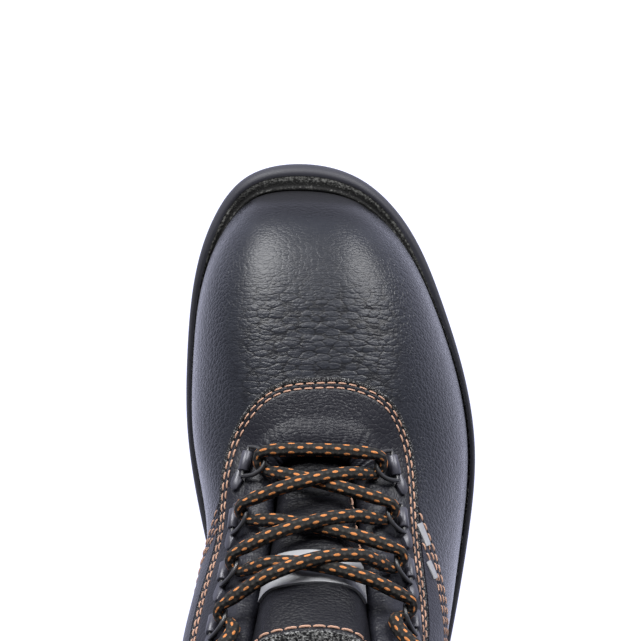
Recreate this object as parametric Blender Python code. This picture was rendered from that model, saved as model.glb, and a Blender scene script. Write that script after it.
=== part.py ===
"""Ankle-high safety boot for the right foot, built as a maker puts it together.

Every size and table below is in millimetres, and meshes are made in metres.
The boot stands on z = 0 with its toe towards +Y, its outer side towards +X and its origin under
the middle of its box. The upper is one hollow wall. Each of its ribs is a cubic curve that runs
from the sole edge up to the opening, and a smooth closed spline joins the ribs into one surface,
from which the facing, the quarters, the tongue, the rings and the lace are placed.
"""

import math
from collections import namedtuple

import bmesh
import bpy
import numpy as np
from mathutils import Matrix, Vector

MM = 0.001
GAP = 0.3

# Driving sizes of the boot.
SOLE_LENGTH = 302.0
BALL_WIDTH = 109.0
INSTEP_HEIGHT = 85.0
SHAFT_HEIGHT = 152.0

# Wall of the upper: leather with its lining, and the padded roll along the opening.
WALL = 2.4
PAD_STARTS = 0.74
PAD_FULL = 0.97
PAD_COLLAR = (6.5, 8.0)
COLLAR_PUFF = 2.5
PUFF_STARTS = 0.79
OVERLAY = 1.4
OVERLAY_GAP = 0.8

# How finely the upper and the sole are faceted.
STATIONS = 56
OUTER_ROWS = 11
INNER_ROWS = 7
ROLL_ROWS = 3

# One row for each rib of the upper, from the toe to the heel. The two sides share a row.
# inner and outer: the sole edge on the big-toe side and on the other side, as (across, along):
#   percent of half the ball width, and percent of the sole length from the heel.
# rim: how far the foot of the upper lies inside the sole edge.
# gap, top_along, top: the opening, as half its width, percent of the sole length, and height.
# lean and rise: the rib's lower handle, outwards (big-toe side, other side) and upwards.
# reach and drop: the rib's upper handle, outwards (both sides) and downwards.
# pad: thickness of the padded roll. band: depth of the facing and of the collar, both sides.
Rib = namedtuple("Rib", "name inner outer rim gap top_along top lean rise reach drop pad band")
RIBS = (
    Rib("toe", (-21, 100), (-21, 100), 10.5, 0, 66.1, INSTEP_HEIGHT,
        (4, 4), 42, (62, 62), 9, 5, (24, 24)),
    Rib("toe front", (-59.5, 98.2), (20, 98.2), 9.0, 6.5, 66.0, 84.8,
        (4, 4), 42, (60, 60), 9, 5, (23.5, 24.5)),
    Rib("toe corner", (-81, 93.2), (50, 93.2), 6.5, 11.5, 65.5, 84.2,
        (3.5, 3.5), 40, (54, 54), 9, 5, (21.5, 24.5)),
    Rib("toe side", (-94, 85.7), (76.5, 83.2), 4.2, 15, 64.7, 83.6,
        (3, 3), 36, (42, 42), 9, 5, (19, 23)),
    Rib("ball front", (-99, 76.5), (92, 74.2), 3.2, 16.8, 63.2, 84,
        (2, 2), 33, (32, 32), 9, 5, (18.5, 21.5)),
    Rib("ball", (-99, 67.2), (100, 63.9), 3.0, 18, 60.3, 89,
        (1.5, 1.5), 33, (26, 26), 9, 5, (19, 20.5)),
    Rib("waist front", (-89, 55.7), (95.5, 54.3), 3.0, 20, 54.6, 101.5,
        (0, 1), 38, (21, 23), 9, 5, (20.5, 20)),
    Rib("waist", (-75, 42.7), (83.5, 42), 3.6, 24, 46.7, 124, (6, 1), 54, (40, 24), 13, 5.5, (23, 22)),
    Rib("shank", (-71.5, 34.1), (74.5, 34.1), 5.0, 29.5, 39.7, 146.5,
        (9, 3), 50, (33, 13), 32, 6.5, (25, 25)),
    Rib("heel front", (-69.5, 24.2), (67, 24.2), 4.6, 38, 33.4, 150,
        (8, 4), 45, (12, 5), 40, 8, (27, 27)),
    Rib("heel side", (-73.5, 13), (64, 13), 3.8, 43, 20.2, 148.5, (4, 4), 40, (1, 1), 40, 8, (29, 29)),
    Rib("heel corner", (-49.5, 3.1), (39.5, 3.1), 3.6, 29, 7.6, 150.5,
        (4, 4), 40, (-4, -4), 42, 8, (29, 29)),
    Rib("heel", (-5.5, 0), (-5.5, 0), 3.8, 0, 3.3, SHAFT_HEIGHT, (6, 6), 42, (-6, -6), 42, 8, (29, 29)),
)

# Heights along the sole: underside, the bed that the upper stands on, and the top of the rim.
SoleHeight = namedtuple("SoleHeight", "along ground bed rim")
SOLE_HEIGHTS = (
    SoleHeight(100, 13, 28, 38),
    SoleHeight(93, 5.5, 25, 33),
    SoleHeight(80, 0, 21.5, 29),
    SoleHeight(64, 0, 20.5, 28),
    SoleHeight(50, 0, 23, 31),
    SoleHeight(35, 0, 28, 36.5),
    SoleHeight(17, 0, 31, 40),
    SoleHeight(0, 3, 32, 41),
)

# The middle line of the opening, which lies towards the big-toe side of the sole's middle.
OPENING_AXIS_ALONG = (3.3, 42, 53, 66.1)
OPENING_AXIS_X = (-4.5, -7.5, -5.5, -5.5)


def along_to_y(along):
    """Distance along the boot, from percent of the sole length."""
    return (np.asarray(along, float) / 100 - 0.5) * SOLE_LENGTH


def y_to_along(y):
    return (np.asarray(y, float) / SOLE_LENGTH + 0.5) * 100


def opening_axis(y):
    return np.interp(y_to_along(y), OPENING_AXIS_ALONG, OPENING_AXIS_X)


class ClosedSpline:
    """Cubic curve with continuous curvature through rows of values, round a closed loop."""

    def __init__(self, knots, period, values):
        self.knots = np.asarray(knots, float)
        self.period = period
        self.values = np.asarray(values, float)
        count = len(self.knots)
        self.steps = np.diff(np.append(self.knots, self.knots[0] + period))
        ahead = np.roll(np.arange(count), -1)
        behind = np.roll(np.arange(count), 1)
        system = np.zeros((count, count))
        system[np.arange(count), behind] += self.steps[behind]
        system[np.arange(count), np.arange(count)] += 2 * (self.steps[behind] + self.steps)
        system[np.arange(count), ahead] += self.steps
        steps = self.steps.reshape((-1,) + (1,) * (self.values.ndim - 1))
        slopes = (self.values[ahead] - self.values) / steps
        self.bends = np.linalg.solve(system, 6 * (slopes - slopes[behind]))

    def __call__(self, u):
        u = np.mod(np.asarray(u, float) - self.knots[0], self.period) + self.knots[0]
        left = np.clip(np.searchsorted(self.knots, u, side="right") - 1, 0, len(self.knots) - 1)
        right = (left + 1) % len(self.knots)
        step = self.steps[left]
        b = (u - self.knots[left]) / step
        a = 1 - b
        shape = u.shape + (1,) * (self.values.ndim - 1)
        a, b, step = a.reshape(shape), b.reshape(shape), step.reshape(shape)
        bend = (a**3 - a) * self.bends[left] + (b**3 - b) * self.bends[right]
        return a * self.values[left] + b * self.values[right] + bend * step**2 / 6


# The loop of ribs runs from the toe along the big-toe side to the heel, and back on the other side.
HALF = len(RIBS) - 1
LOOP = [(row, 0) for row in RIBS] + [(row, 1) for row in RIBS[-2:0:-1]]


def loop_values(pick):
    """One value, or one list of values, for each rib of the whole loop. pick takes a row and a side."""
    return np.array([pick(row, side) for row, side in LOOP], float)


def sole_edge_point(row, side):
    across, along = row.outer if side else row.inner
    return [across / 100 * BALL_WIDTH / 2, float(along_to_y(along))]


EDGE_POINTS = loop_values(sole_edge_point)
EDGE_STEPS = np.linalg.norm(np.roll(EDGE_POINTS, -1, axis=0) - EDGE_POINTS, axis=1)
PERIOD = float(EDGE_STEPS.sum())
KNOTS = np.concatenate([[0.0], np.cumsum(EDGE_STEPS)[:-1]])


def spline_of(pick):
    return ClosedSpline(KNOTS, PERIOD, loop_values(pick))


def opening_point(row, side):
    y = float(along_to_y(row.top_along))
    return [opening_axis(y) + (row.gap if side else -row.gap), y, row.top]


EDGE = ClosedSpline(KNOTS, PERIOD, EDGE_POINTS)
OPENING = spline_of(opening_point)
RIM = spline_of(lambda row, side: row.rim)
LEAN = spline_of(lambda row, side: row.lean[side])
RISE = spline_of(lambda row, side: row.rise)
REACH = spline_of(lambda row, side: row.reach[side])
DROP = spline_of(lambda row, side: row.drop)
PAD = spline_of(lambda row, side: row.pad)
BAND = spline_of(lambda row, side: row.band[side])


def loop_place(rib, side=0):
    """Place on the loop of a rib, counted from the toe and with fractions. Side 1 is the outer side."""
    u = float(np.interp(rib, np.arange(HALF + 1), KNOTS[: HALF + 1]))
    if side == 0:
        return u
    knots_back = PERIOD - np.append(KNOTS[HALF:], PERIOD)[::-1]
    return -float(np.interp(rib, np.arange(HALF + 1), knots_back))


def column(values):
    return np.asarray(values, float)[..., None]


def unit(vectors):
    return vectors / np.linalg.norm(vectors, axis=-1, keepdims=True)


def edge_outwards(u):
    """Direction straight out of the sole edge, level with the floor."""
    tangent = EDGE(np.asarray(u, float) + 0.5) - EDGE(np.asarray(u, float) - 0.5)
    return unit(np.stack([tangent[..., 1], -tangent[..., 0]], axis=-1))


def edge_inset(u, inset):
    """Point of the sole outline, moved inwards."""
    return EDGE(u) - column(inset) * edge_outwards(u)


def sole_height(y, name):
    """Height of the sole's ground, bed or rim at a distance along the boot, eased between the rows."""
    rows = SOLE_HEIGHTS[::-1]
    along = np.array([row.along for row in rows], float)
    heights = np.array([getattr(row, name) for row in rows], float)
    steps = np.diff(heights) / np.diff(along)
    level = steps[:-1] * steps[1:] <= 0
    inner = np.where(level, 0.0, 2 * steps[:-1] * steps[1:] / np.where(level, 1.0, steps[:-1] + steps[1:]))
    slopes = np.concatenate([steps[:1], inner, steps[-1:]])
    at = np.clip(y_to_along(y), 0, 100)
    left = np.clip(np.searchsorted(along, at, side="right") - 1, 0, len(along) - 2)
    width = along[left + 1] - along[left]
    share = (at - along[left]) / width
    s2, s3 = share**2, share**3
    start = (2 * s3 - 3 * s2 + 1) * heights[left] + (s3 - 2 * s2 + share) * width * slopes[left]
    return start + (3 * s2 - 2 * s3) * heights[left + 1] + (s3 - s2) * width * slopes[left + 1]


def eased(low, high, value):
    share = np.clip((np.asarray(value, float) - low) / (high - low), 0, 1)
    return share * share * (3 - 2 * share)


NORMAL_PULL = 25.0


def rib_handles(u):
    """The four control points of the rib at a place on the loop."""
    u = np.asarray(u, float)
    outwards = edge_outwards(u)
    foot_xy = edge_inset(u, RIM(u))
    foot = np.concatenate([foot_xy, column(sole_height(foot_xy[..., 1], "bed") + GAP)], axis=-1)
    top = OPENING(u)
    level = np.zeros(u.shape + (1,))
    out3 = np.concatenate([outwards, level], axis=-1)
    aim = foot_xy - top[..., :2] + NORMAL_PULL * outwards
    aim3 = np.concatenate([unit(aim), level], axis=-1)
    up = np.array([0.0, 0.0, 1.0])
    lower = foot + column(LEAN(u)) * out3 + column(RISE(u)) * up
    upper = top + column(REACH(u)) * aim3 - column(DROP(u)) * up
    return foot, lower, upper, top


def skin(u, t):
    """Outer surface of the upper. t runs from 0 at the sole to 1 at the opening."""
    u, t = np.broadcast_arrays(np.asarray(u, float), np.asarray(t, float))
    foot, lower, upper, top = rib_handles(u)
    collar = eased(PAD_COLLAR[0], PAD_COLLAR[1], PAD(u))
    puff = COLLAR_PUFF * collar * np.sin(math.pi * np.clip((t - PUFF_STARTS) / (1 - PUFF_STARTS), 0, 1)) ** 2
    bulge = np.concatenate([edge_outwards(u), np.zeros(u.shape + (1,))], axis=-1) * column(puff)
    t = column(t)
    s = 1 - t
    return s**3 * foot + 3 * s**2 * t * lower + 3 * s * t**2 * upper + t**3 * top + bulge


def skin_frame(u, t):
    """Outward normal and upward tangent of the upper's outer surface."""
    u, t = np.broadcast_arrays(np.asarray(u, float), np.asarray(t, float))
    around = skin(u + 0.5, t) - skin(u - 0.5, t)
    upwards = skin(u, t + 0.004) - skin(u, t - 0.004)
    return unit(np.cross(around, upwards)), unit(upwards)


def skin_offset(u, t, distance):
    """Point at a distance outside the upper's outer surface, or inside it where that is below 0."""
    normal, _ = skin_frame(u, t)
    return skin(u, t) + column(distance) * normal


def wall(u, t):
    """Thickness of the upper's wall, which grows into the padded roll at the opening."""
    return WALL + (PAD(u) - WALL) * eased(PAD_STARTS, PAD_FULL, t)


RIB_SAMPLES = np.linspace(0, 1, 61)


def rib_share(u, depth):
    """The t of the point that lies a depth below the opening, measured along the rib."""
    u, depth = np.broadcast_arrays(np.asarray(u, float), np.asarray(depth, float))
    shares = np.empty(u.shape)
    for index in np.ndindex(u.shape):
        points = skin(u[index], RIB_SAMPLES)
        steps = np.linalg.norm(np.diff(points, axis=0), axis=1)
        below = np.concatenate([np.cumsum(steps[::-1])[::-1], [0.0]])
        shares[index] = np.interp(depth[index], below[::-1], RIB_SAMPLES[::-1])
    return shares


def share_at_height(u, z):
    """The t at which the ribs near the sole reach a height."""
    low = RIB_SAMPLES[:20]
    return np.array([np.interp(height, skin(place, low)[:, 2], low) for place, height in zip(u, z)])


# Making meshes.


def new_object(name, points, faces, finish, smooth_angle=40):
    """A named object from points in millimetres, with its material and its normals facing out."""
    mesh = bpy.data.meshes.new(name)
    mesh.from_pydata((np.asarray(points) * MM).tolist(), [], faces)
    work = bmesh.new()
    work.from_mesh(mesh)
    bmesh.ops.recalc_face_normals(work, faces=work.faces)
    bmesh.ops.triangulate(work, faces=[face for face in work.faces if len(face.verts) > 4])
    work.to_mesh(mesh)
    work.free()
    mesh.shade_smooth()
    mesh.set_sharp_from_angle(angle=math.radians(smooth_angle))
    made = bpy.data.objects.new(name, mesh)
    made.data.materials.append(finish)
    bpy.context.scene.collection.objects.link(made)
    return made


def loft(name, profiles, finish, closed=False):
    """A solid through closed profiles. An open row of profiles gets an end face at each end.

    A profile holds its outer points and then as many inner points in the opposite order.
    """
    count, size, _ = profiles.shape
    spans = count if closed else count - 1
    faces = []
    for i in range(spans):
        here, ahead = i * size, (i + 1) % count * size
        for j in range(size):
            k = (j + 1) % size
            faces.append((here + j, here + k, ahead + k, ahead + j))
    if not closed:
        for start in (0, (count - 1) * size):
            for j in range(size // 2 - 1):
                faces.append((start + j, start + j + 1, start + size - 2 - j, start + size - 1 - j))
    return new_object(name, profiles.reshape(-1, 3), faces, finish)


LADDER_COLUMNS = 2


def drum(name, loops, finish):
    """A solid from level loops, lowest first, closed below and above by rungs across the boot."""
    rows, count, _ = loops.shape
    points = list(loops.reshape(-1, 3))
    faces = []
    for r in range(rows - 1):
        for i in range(count):
            k = (i + 1) % count
            faces.append((r * count + i, r * count + k, (r + 1) * count + k, (r + 1) * count + i))
    for r in (0, rows - 1):
        rungs = []
        for i in range(1, count // 2):
            near, far = r * count + i, r * count + count - i
            rung = [near]
            for c in range(1, LADDER_COLUMNS + 1):
                share = c / (LADDER_COLUMNS + 1)
                rung.append(len(points))
                points.append(points[near] * (1 - share) + points[far] * share)
            rungs.append(rung + [far])
        for first, second in zip(rungs, rungs[1:]):
            for c in range(LADDER_COLUMNS + 1):
                faces.append((first[c], first[c + 1], second[c + 1], second[c]))
        faces.append((r * count, *rungs[0]))
        faces.append((r * count + count // 2, *rungs[-1][::-1]))
    return new_object(name, np.array(points), faces, finish)


def finish_of(name, colour, roughness, metallic=0.0):
    made = bpy.data.materials.new(name)
    made.use_nodes = True
    shader = made.node_tree.nodes["Principled BSDF"]
    shader.inputs["Base Color"].default_value = (*colour, 1.0)
    shader.inputs["Roughness"].default_value = roughness
    shader.inputs["Metallic"].default_value = metallic
    return made


# Stations round the loop: evenly spaced, with one exactly at the toe and one at the heel.
HALF_STATIONS = STATIONS // 2
AROUND = np.concatenate([
    np.linspace(0, KNOTS[HALF], HALF_STATIONS, endpoint=False),
    np.linspace(KNOTS[HALF], PERIOD, HALF_STATIONS, endpoint=False),
])


# The upper: one hollow wall of vamp, quarters and shaft with its lining.


def build_upper(finish):
    outer_t = np.linspace(0, 1, OUTER_ROWS)
    inner_t = np.linspace(1, 0, INNER_ROWS)
    outer = skin(AROUND[:, None], outer_t[None, :])
    inner = skin_offset(AROUND[:, None], inner_t[None, :], -wall(AROUND[:, None], inner_t[None, :]))
    normal, upwards = skin_frame(AROUND, np.ones_like(AROUND))
    radius = column(wall(AROUND, 1.0) / 2)
    centre = skin(AROUND, 1.0) - radius * normal
    turns = np.linspace(0, math.pi, ROLL_ROWS + 2)[1:-1]
    roll = [centre + radius * (math.cos(turn) * normal + math.sin(turn) * upwards) for turn in turns]
    profiles = np.concatenate([outer, np.stack(roll, axis=1), inner], axis=1)
    return loft("upper", profiles, finish, closed=True)


# The facing: a horseshoe of leather round the throat, which carries the lace rings.

FACING_END = 8.1
FACING_ROWS = 6
FACING_TOP = 0.985


def overlay_profiles(u, t):
    """Profiles of a leather overlay that lies on the upper at these places."""
    outer = skin_offset(u, t, OVERLAY_GAP + OVERLAY)
    inner = skin_offset(u, t, OVERLAY_GAP)
    return np.concatenate([outer, inner[:, ::-1]], axis=1)


def build_facing(finish):
    ends = loop_place(FACING_END, 1), loop_place(FACING_END, 0)
    u = np.concatenate([AROUND - PERIOD, AROUND])
    u = u[(u > ends[0]) & (u < ends[1])]
    lower = rib_share(u, BAND(u))
    share = np.linspace(0, 1, FACING_ROWS)
    t = column(lower) + share * (FACING_TOP - column(lower))
    return loft("facing", overlay_profiles(u[:, None] + 0 * t, t), finish)


# The quarters: one overlay that wraps the heel, from seam to seam, below the facing and collar.

SEAM_FOOT = (7.8, 8.5)
SEAM_TOP = (5.4, 5.38)
SEAM_BOW = (0.0, 1.2)
QUARTER_STATIONS = 38
QUARTER_ROWS = 10
QUARTER_ABOVE_RIM = 0.5
QUARTER_TOP_GAP = 0.6


def seam_place(share, side):
    """Place on the loop of the seam between vamp and quarter, at a share of the way up."""
    rib = SEAM_FOOT[side] + (SEAM_TOP[side] - SEAM_FOOT[side]) * share + SEAM_BOW[side] * share * (1 - share)
    return np.array([loop_place(r, side) for r in np.atleast_1d(rib)])


def build_quarters(finish):
    share = np.linspace(0, 1, QUARTER_ROWS)
    start, end = seam_place(share, 0), seam_place(share, 1) + PERIOD
    way = column(np.linspace(0, 1, QUARTER_STATIONS))
    u = start + way * (end - start)
    top = rib_share(u[:, -1], BAND(u[:, -1]) + QUARTER_TOP_GAP)
    foot = share_at_height(u[:, 0], sole_height(skin(u[:, 0], 0.0)[:, 1], "rim") + QUARTER_ABOVE_RIM)
    t = column(foot) + share * column(top - foot)
    return loft("quarters", overlay_profiles(u, t), finish)


# The sole: a midsole with the rim that frames the upper, and an outsole with lugs and a toe guard.

TREAD_THICKNESS = 10.5
LIP_HEIGHT = 2.0
LIP_THICKNESS = 1.5
GUARD_THICKNESS = 4.6
GUARD_BELOW_RIM = 3.0
GUARD_FULL, GUARD_ENDS = 98.0, 84.0
LEDGE_DEPTH = 2.2
TREAD_BEVEL = 2.6
TREAD_BEVEL_HEIGHT = 3.5


def guard_share(y):
    """1 at the toe, where the outsole wraps up in front of the midsole, and 0 behind it."""
    return eased(GUARD_ENDS, GUARD_FULL, y_to_along(y))


def level_loop(xy, z):
    return np.concatenate([xy, column(z)], axis=-1)


def sole_loops():
    """Heights and thicknesses of the sole at each station."""
    y = EDGE(AROUND)[:, 1]
    bed, rim, ground = (sole_height(y, name) for name in ("bed", "rim", "ground"))
    seat = bed - TREAD_THICKNESS
    guard = guard_share(y)
    lip = seat + LIP_HEIGHT + guard * (rim - GUARD_BELOW_RIM - seat - LIP_HEIGHT)
    thickness = LIP_THICKNESS + guard * (GUARD_THICKNESS - LIP_THICKNESS)
    return bed, rim, ground, seat, lip, thickness, guard


def build_midsole(finish):
    bed, rim, ground, seat, lip, thickness, guard = sole_loops()
    inside = thickness + GAP
    flank = 0.7 + 0.2 * guard
    flank_foot = lip + 1.4 * (1 - guard) + (GAP + 0.15) * guard
    side = 0.3 * guard
    band = side + 0.6 * (RIM(AROUND) - side)
    crown = side + (0.25 + 0.3 * guard) * (band - side)
    ledge = rim - LEDGE_DEPTH
    at_ledge = skin_offset(AROUND, share_at_height(AROUND, ledge), GAP)
    at_bed = skin_offset(AROUND, np.zeros_like(AROUND), GAP)
    loops = [
        level_loop(edge_inset(AROUND, inside), seat + GAP),
        level_loop(edge_inset(AROUND, inside), lip + GAP),
        level_loop(edge_inset(AROUND, flank), flank_foot),
        level_loop(edge_inset(AROUND, flank), rim - 4.5 + 2.4 * guard),
        level_loop(edge_inset(AROUND, side), rim - 3.4 + 1.5 * guard),
        level_loop(edge_inset(AROUND, side), rim - 1.2 - 0.4 * guard),
        level_loop(edge_inset(AROUND, crown), rim),
        level_loop(edge_inset(AROUND, band), rim - 0.2),
        level_loop(edge_inset(AROUND, band + 0.25), ledge),
        level_loop(at_ledge[:, :2], ledge),
        level_loop(at_bed[:, :2], sole_height(at_bed[:, 1], "bed")),
    ]
    return drum("midsole", np.stack(loops), finish)


def build_outsole(finish):
    bed, rim, ground, seat, lip, thickness, guard = sole_loops()
    loops = [
        level_loop(edge_inset(AROUND, TREAD_BEVEL), ground),
        level_loop(edge_inset(AROUND, 0.6), ground + TREAD_BEVEL_HEIGHT),
        level_loop(edge_inset(AROUND, 0.0), seat - 1.0),
        level_loop(edge_inset(AROUND, 0.1 + 0.5 * guard), lip - 1.0),
        level_loop(edge_inset(AROUND, 0.6 + 1.2 * guard), lip),
        level_loop(edge_inset(AROUND, thickness), lip),
        level_loop(edge_inset(AROUND, thickness), seat),
    ]
    made = drum("outsole", np.stack(loops), finish)
    cut_tread(made)
    return made


# Tread: chevron grooves across heel and forefoot, one groove along the middle, and the arch.

GROOVE_DEPTH = 4.2
GROOVE_WIDTH = 6.0
GROOVE_SWEEP = 13.0
GROOVE_REACH = 75.0
FOREFOOT_GROOVES = (43.0, 92.0, 7)
HEEL_GROOVES = (9.0, 27.0, 3)
ARCH_ALONG = (34.5, 51.0)
ARCH_HEIGHT = 7.0
ARCH_SLOPE = 9.0
MIDDLE_GROOVE_ALONG = (55.0, 97.0)
BELOW_FLOOR = -20.0


def prism(outline, low, high):
    """Points and faces of an upright prism over a plan outline, with a top that may slope along y."""
    size = len(outline)
    points = [(x, y, low) for x, y in outline] + [(x, y, high(y)) for x, y in outline]
    faces = [tuple(range(size))[::-1], tuple(range(size, 2 * size))]
    faces += [(i, (i + 1) % size, size + (i + 1) % size, size + i) for i in range(size)]
    return points, faces


def tread_top(y):
    return float(sole_height(y, "ground")) + GROOVE_DEPTH


def chevron(along):
    y = float(along_to_y(along))
    half = GROOVE_WIDTH / 2
    front = [(-GROOVE_REACH, y - GROOVE_SWEEP + half), (0, y + half), (GROOVE_REACH, y - GROOVE_SWEEP + half)]
    back = [(x, y_front - GROOVE_WIDTH) for x, y_front in reversed(front)]
    return prism(front + back, BELOW_FLOOR, tread_top)


def middle_groove():
    low, high = along_to_y(MIDDLE_GROOVE_ALONG)
    half = GROOVE_WIDTH / 2
    steps = np.linspace(low, high, 6)
    lean = float(opening_axis(0))
    left = [(lean - half, y) for y in steps]
    right = [(lean + half, y) for y in steps[::-1]]
    return prism(left + right, BELOW_FLOOR, tread_top)


def arch():
    back, front = along_to_y(ARCH_ALONG)
    side = [(back, BELOW_FLOOR), (back, ARCH_HEIGHT), (front - ARCH_SLOPE, ARCH_HEIGHT)]
    side += [(front, BELOW_FLOOR / 4), (front, BELOW_FLOOR)]
    size = len(side)
    points = [(-GROOVE_REACH, y, z) for y, z in side] + [(GROOVE_REACH, y, z) for y, z in side]
    faces = [tuple(range(size)), tuple(range(size, 2 * size))[::-1]]
    faces += [(i, (i + 1) % size, size + (i + 1) % size, size + i) for i in range(size)]
    return points, faces


def cutter(name, shapes):
    points, faces = [], []
    for shape_points, shape_faces in shapes:
        base = len(points)
        points += shape_points
        faces += [tuple(base + i for i in face) for face in shape_faces]
    made = new_object(name, np.array(points), faces, finish_of(name, (1, 1, 1), 0.5))
    made.hide_render = True
    made.display_type = "WIRE"
    return made


def cut_tread(outsole):
    chevrons = [chevron(a) for spec in (FOREFOOT_GROOVES, HEEL_GROOVES) for a in np.linspace(*spec)]
    for name, shapes in (("chevrons", chevrons), ("middle", [middle_groove()]), ("arch", [arch()])):
        cut = outsole.modifiers.new(name, "BOOLEAN")
        cut.operation = "DIFFERENCE"
        cut.solver = "EXACT"
        cut.object = cutter("cutter_" + name, shapes)


# The insole, a loose foam footbed on the midsole.

INSOLE_THICKNESS = 4.0
INSOLE_CLEARANCE = 0.8
INSOLE_GAP = 0.5


def build_insole(finish):
    inner = skin_offset(AROUND, np.zeros_like(AROUND), -WALL - INSOLE_CLEARANCE)
    edge = inner[:, :2]
    centre = edge - 1.0 * edge_outwards(AROUND)
    bed = sole_height(inner[:, 1], "bed")
    loops = [
        level_loop(edge, bed + INSOLE_GAP),
        level_loop(edge, bed + INSOLE_GAP + INSOLE_THICKNESS - 1.0),
        level_loop(centre, bed + INSOLE_GAP + INSOLE_THICKNESS),
    ]
    return drum("insole", np.stack(loops), finish)


# The tongue: a padded flap in the throat, with wings under the facing and a raised middle.

TONGUE_FOOT_FORWARD = 8.0
TONGUE_CLEARANCE = 1.6
TONGUE_WINGS = (8.0, 4.0)
TONGUE_THICKNESS = 7.0
WING_THICKNESS = 2.6
WING_TAPER = 0.6
TONGUE_ROW_COUNT = 11
# Where a row of the tongue lies between the edge of the throat (share 0) and its middle (share 1),
# how far that is from the edge at least, and which share of the middle's rise it has.
TongueStep = namedtuple("TongueStep", "share least rise")
TONGUE_STEPS = (
    TongueStep(0.18, 4.0, 0.08),
    TongueStep(0.24, 5.2, 0.48),
    TongueStep(0.40, 7.5, 0.82),
    TongueStep(0.70, 0.0, 0.96),
    TongueStep(1.00, 0.0, 1.00),
)
# The rise of the tongue's middle above the edges of the throat, at ribs counted from the toe.
TongueRise = namedtuple("TongueRise", "rib rise")
TONGUE_RISES = (
    TongueRise(3.0, -7.6),
    TongueRise(4.0, -2.0),
    TongueRise(5.0, 5.0),
    TongueRise(6.0, 9.0),
    TongueRise(7.0, 14.0),
    TongueRise(7.62, 16.2),
)
TONGUE_TOP = TONGUE_RISES[-1].rib


def throat_frame(rib):
    """Both edges of the throat at a rib, and the direction out of the throat between them."""
    places = np.array([loop_place(rib, 0), loop_place(rib, 1)])
    edges = OPENING(places)
    normals, _ = skin_frame(places, np.ones(2))
    out = normals.sum(axis=0)
    out[0] = 0.0
    return places, edges, unit(out), normals


def tongue_row(rib):
    """Points across the tongue's outer face at a rib, from one wing to the other."""
    places, edges, out, normals = throat_frame(rib)
    middle = edges.mean(axis=0)
    base = -(float(PAD(places[0])) + TONGUE_CLEARANCE)
    rise = np.interp(rib, [row.rib for row in TONGUE_RISES], [row.rise for row in TONGUE_RISES])
    reach = np.array(TONGUE_WINGS) * (1 - WING_TAPER * float(eased(TONGUE_TOP - 1, TONGUE_TOP, rib)))
    sides = []
    for place, edge, normal in zip(places, edges, normals):
        wing_t = rib_share(np.full(2, place), reach)
        depth = wall(np.full(2, place), wing_t) + TONGUE_CLEARANCE
        wings = list(skin_offset(np.full(2, place), wing_t, -depth))
        inwards = middle - edge
        half = np.linalg.norm(inwards)
        steps = [edge + base * normal]
        for step in TONGUE_STEPS:
            share = min(1.0, max(step.share, step.least / half))
            steps.append(edge + share * inwards + (base + step.rise * (rise - base)) * out)
        sides.append(wings + steps)
    row = np.array(sides[0] + sides[1][-2::-1])
    forward = TONGUE_FOOT_FORWARD * eased(TONGUE_RISES[1].rib, TONGUE_RISES[0].rib, rib)
    return row + np.array([0.0, float(forward), 0.0]), out


TONGUE_RIBS = np.linspace(TONGUE_RISES[0].rib, TONGUE_TOP, TONGUE_ROW_COUNT)


def build_tongue(finish):
    profiles = []
    for rib in TONGUE_RIBS:
        outer, out = tongue_row(rib)
        middle = (len(outer) - 1) / 2
        share = 1 - np.abs(np.arange(len(outer)) - middle) / middle
        thickness = WING_THICKNESS + (TONGUE_THICKNESS - WING_THICKNESS) * eased(0.2, 0.75, share)
        inner = outer - column(thickness) * out
        profiles.append(np.concatenate([outer, inner[::-1]]))
    return loft("tongue", np.array(profiles), finish)


# The reflective label on the tongue.

LABEL_RIBS = (6.36, 6.86)
LABEL_ROWS = 4
LABEL_COLUMNS = (4.1, 5, 6, 7, 8, 9, 9.9)
LABEL_GAP = 0.6
LABEL_THICKNESS = 0.8


def build_label(finish):
    profiles = []
    for rib in np.linspace(*LABEL_RIBS, LABEL_ROWS):
        row, out = tongue_row(rib)
        across = np.arange(len(row))
        face = np.stack([np.interp(LABEL_COLUMNS, across, values) for values in row.T], axis=-1)
        along = np.array([0.0, -out[2], out[1]])
        normal = unit(np.cross(np.gradient(face, axis=0), along))
        normal *= np.sign(normal @ out)[:, None]
        outer = face + (LABEL_GAP + LABEL_THICKNESS) * normal
        profiles.append(np.concatenate([outer, (face + LABEL_GAP * normal)[::-1]]))
    return loft("tongue_label", np.array(profiles), finish)


# Lace rings: a plate on the facing, rolled round the straight side of a D of wire.

RING_PAIRS = 5
RING_DEPTH = (8.6, 10.6)
RING_FIRST_Y = (42.5, 41.0)
RING_PITCH = (22.0, 20.4)
RING_LIFT = 0.6
RING_FACE = 7.6
# Outline of a ring's plate: towards the collar, towards the throat.
PLATE_PLAN = ((-3.4, 0.9), (-3.4, -1.6), (2.6, -1.9), (6.0, -3.5), (9.6, -3.2), (10.7, -1.4), (6.8, 0.9))
PLATE_LOW, PLATE_TOP = 0.35, 1.6
BARREL_RADIUS, BARREL_LENGTH = 2.2, 7.6
WIRE_RADIUS = 1.1
D_HALF, D_REACH, D_TILT = 5.8, 8.0, math.radians(30)
BARREL_SIDES, WIRE_SIDES, WIRE_STEPS = 7, 5, 7


def on_facing(u, depth):
    """Points on the outer face of the facing, at a depth below the opening."""
    u = np.atleast_1d(u)
    return skin_offset(u, rib_share(u, np.full(u.shape, depth)), OVERLAY_GAP + OVERLAY + RING_LIFT)


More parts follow.
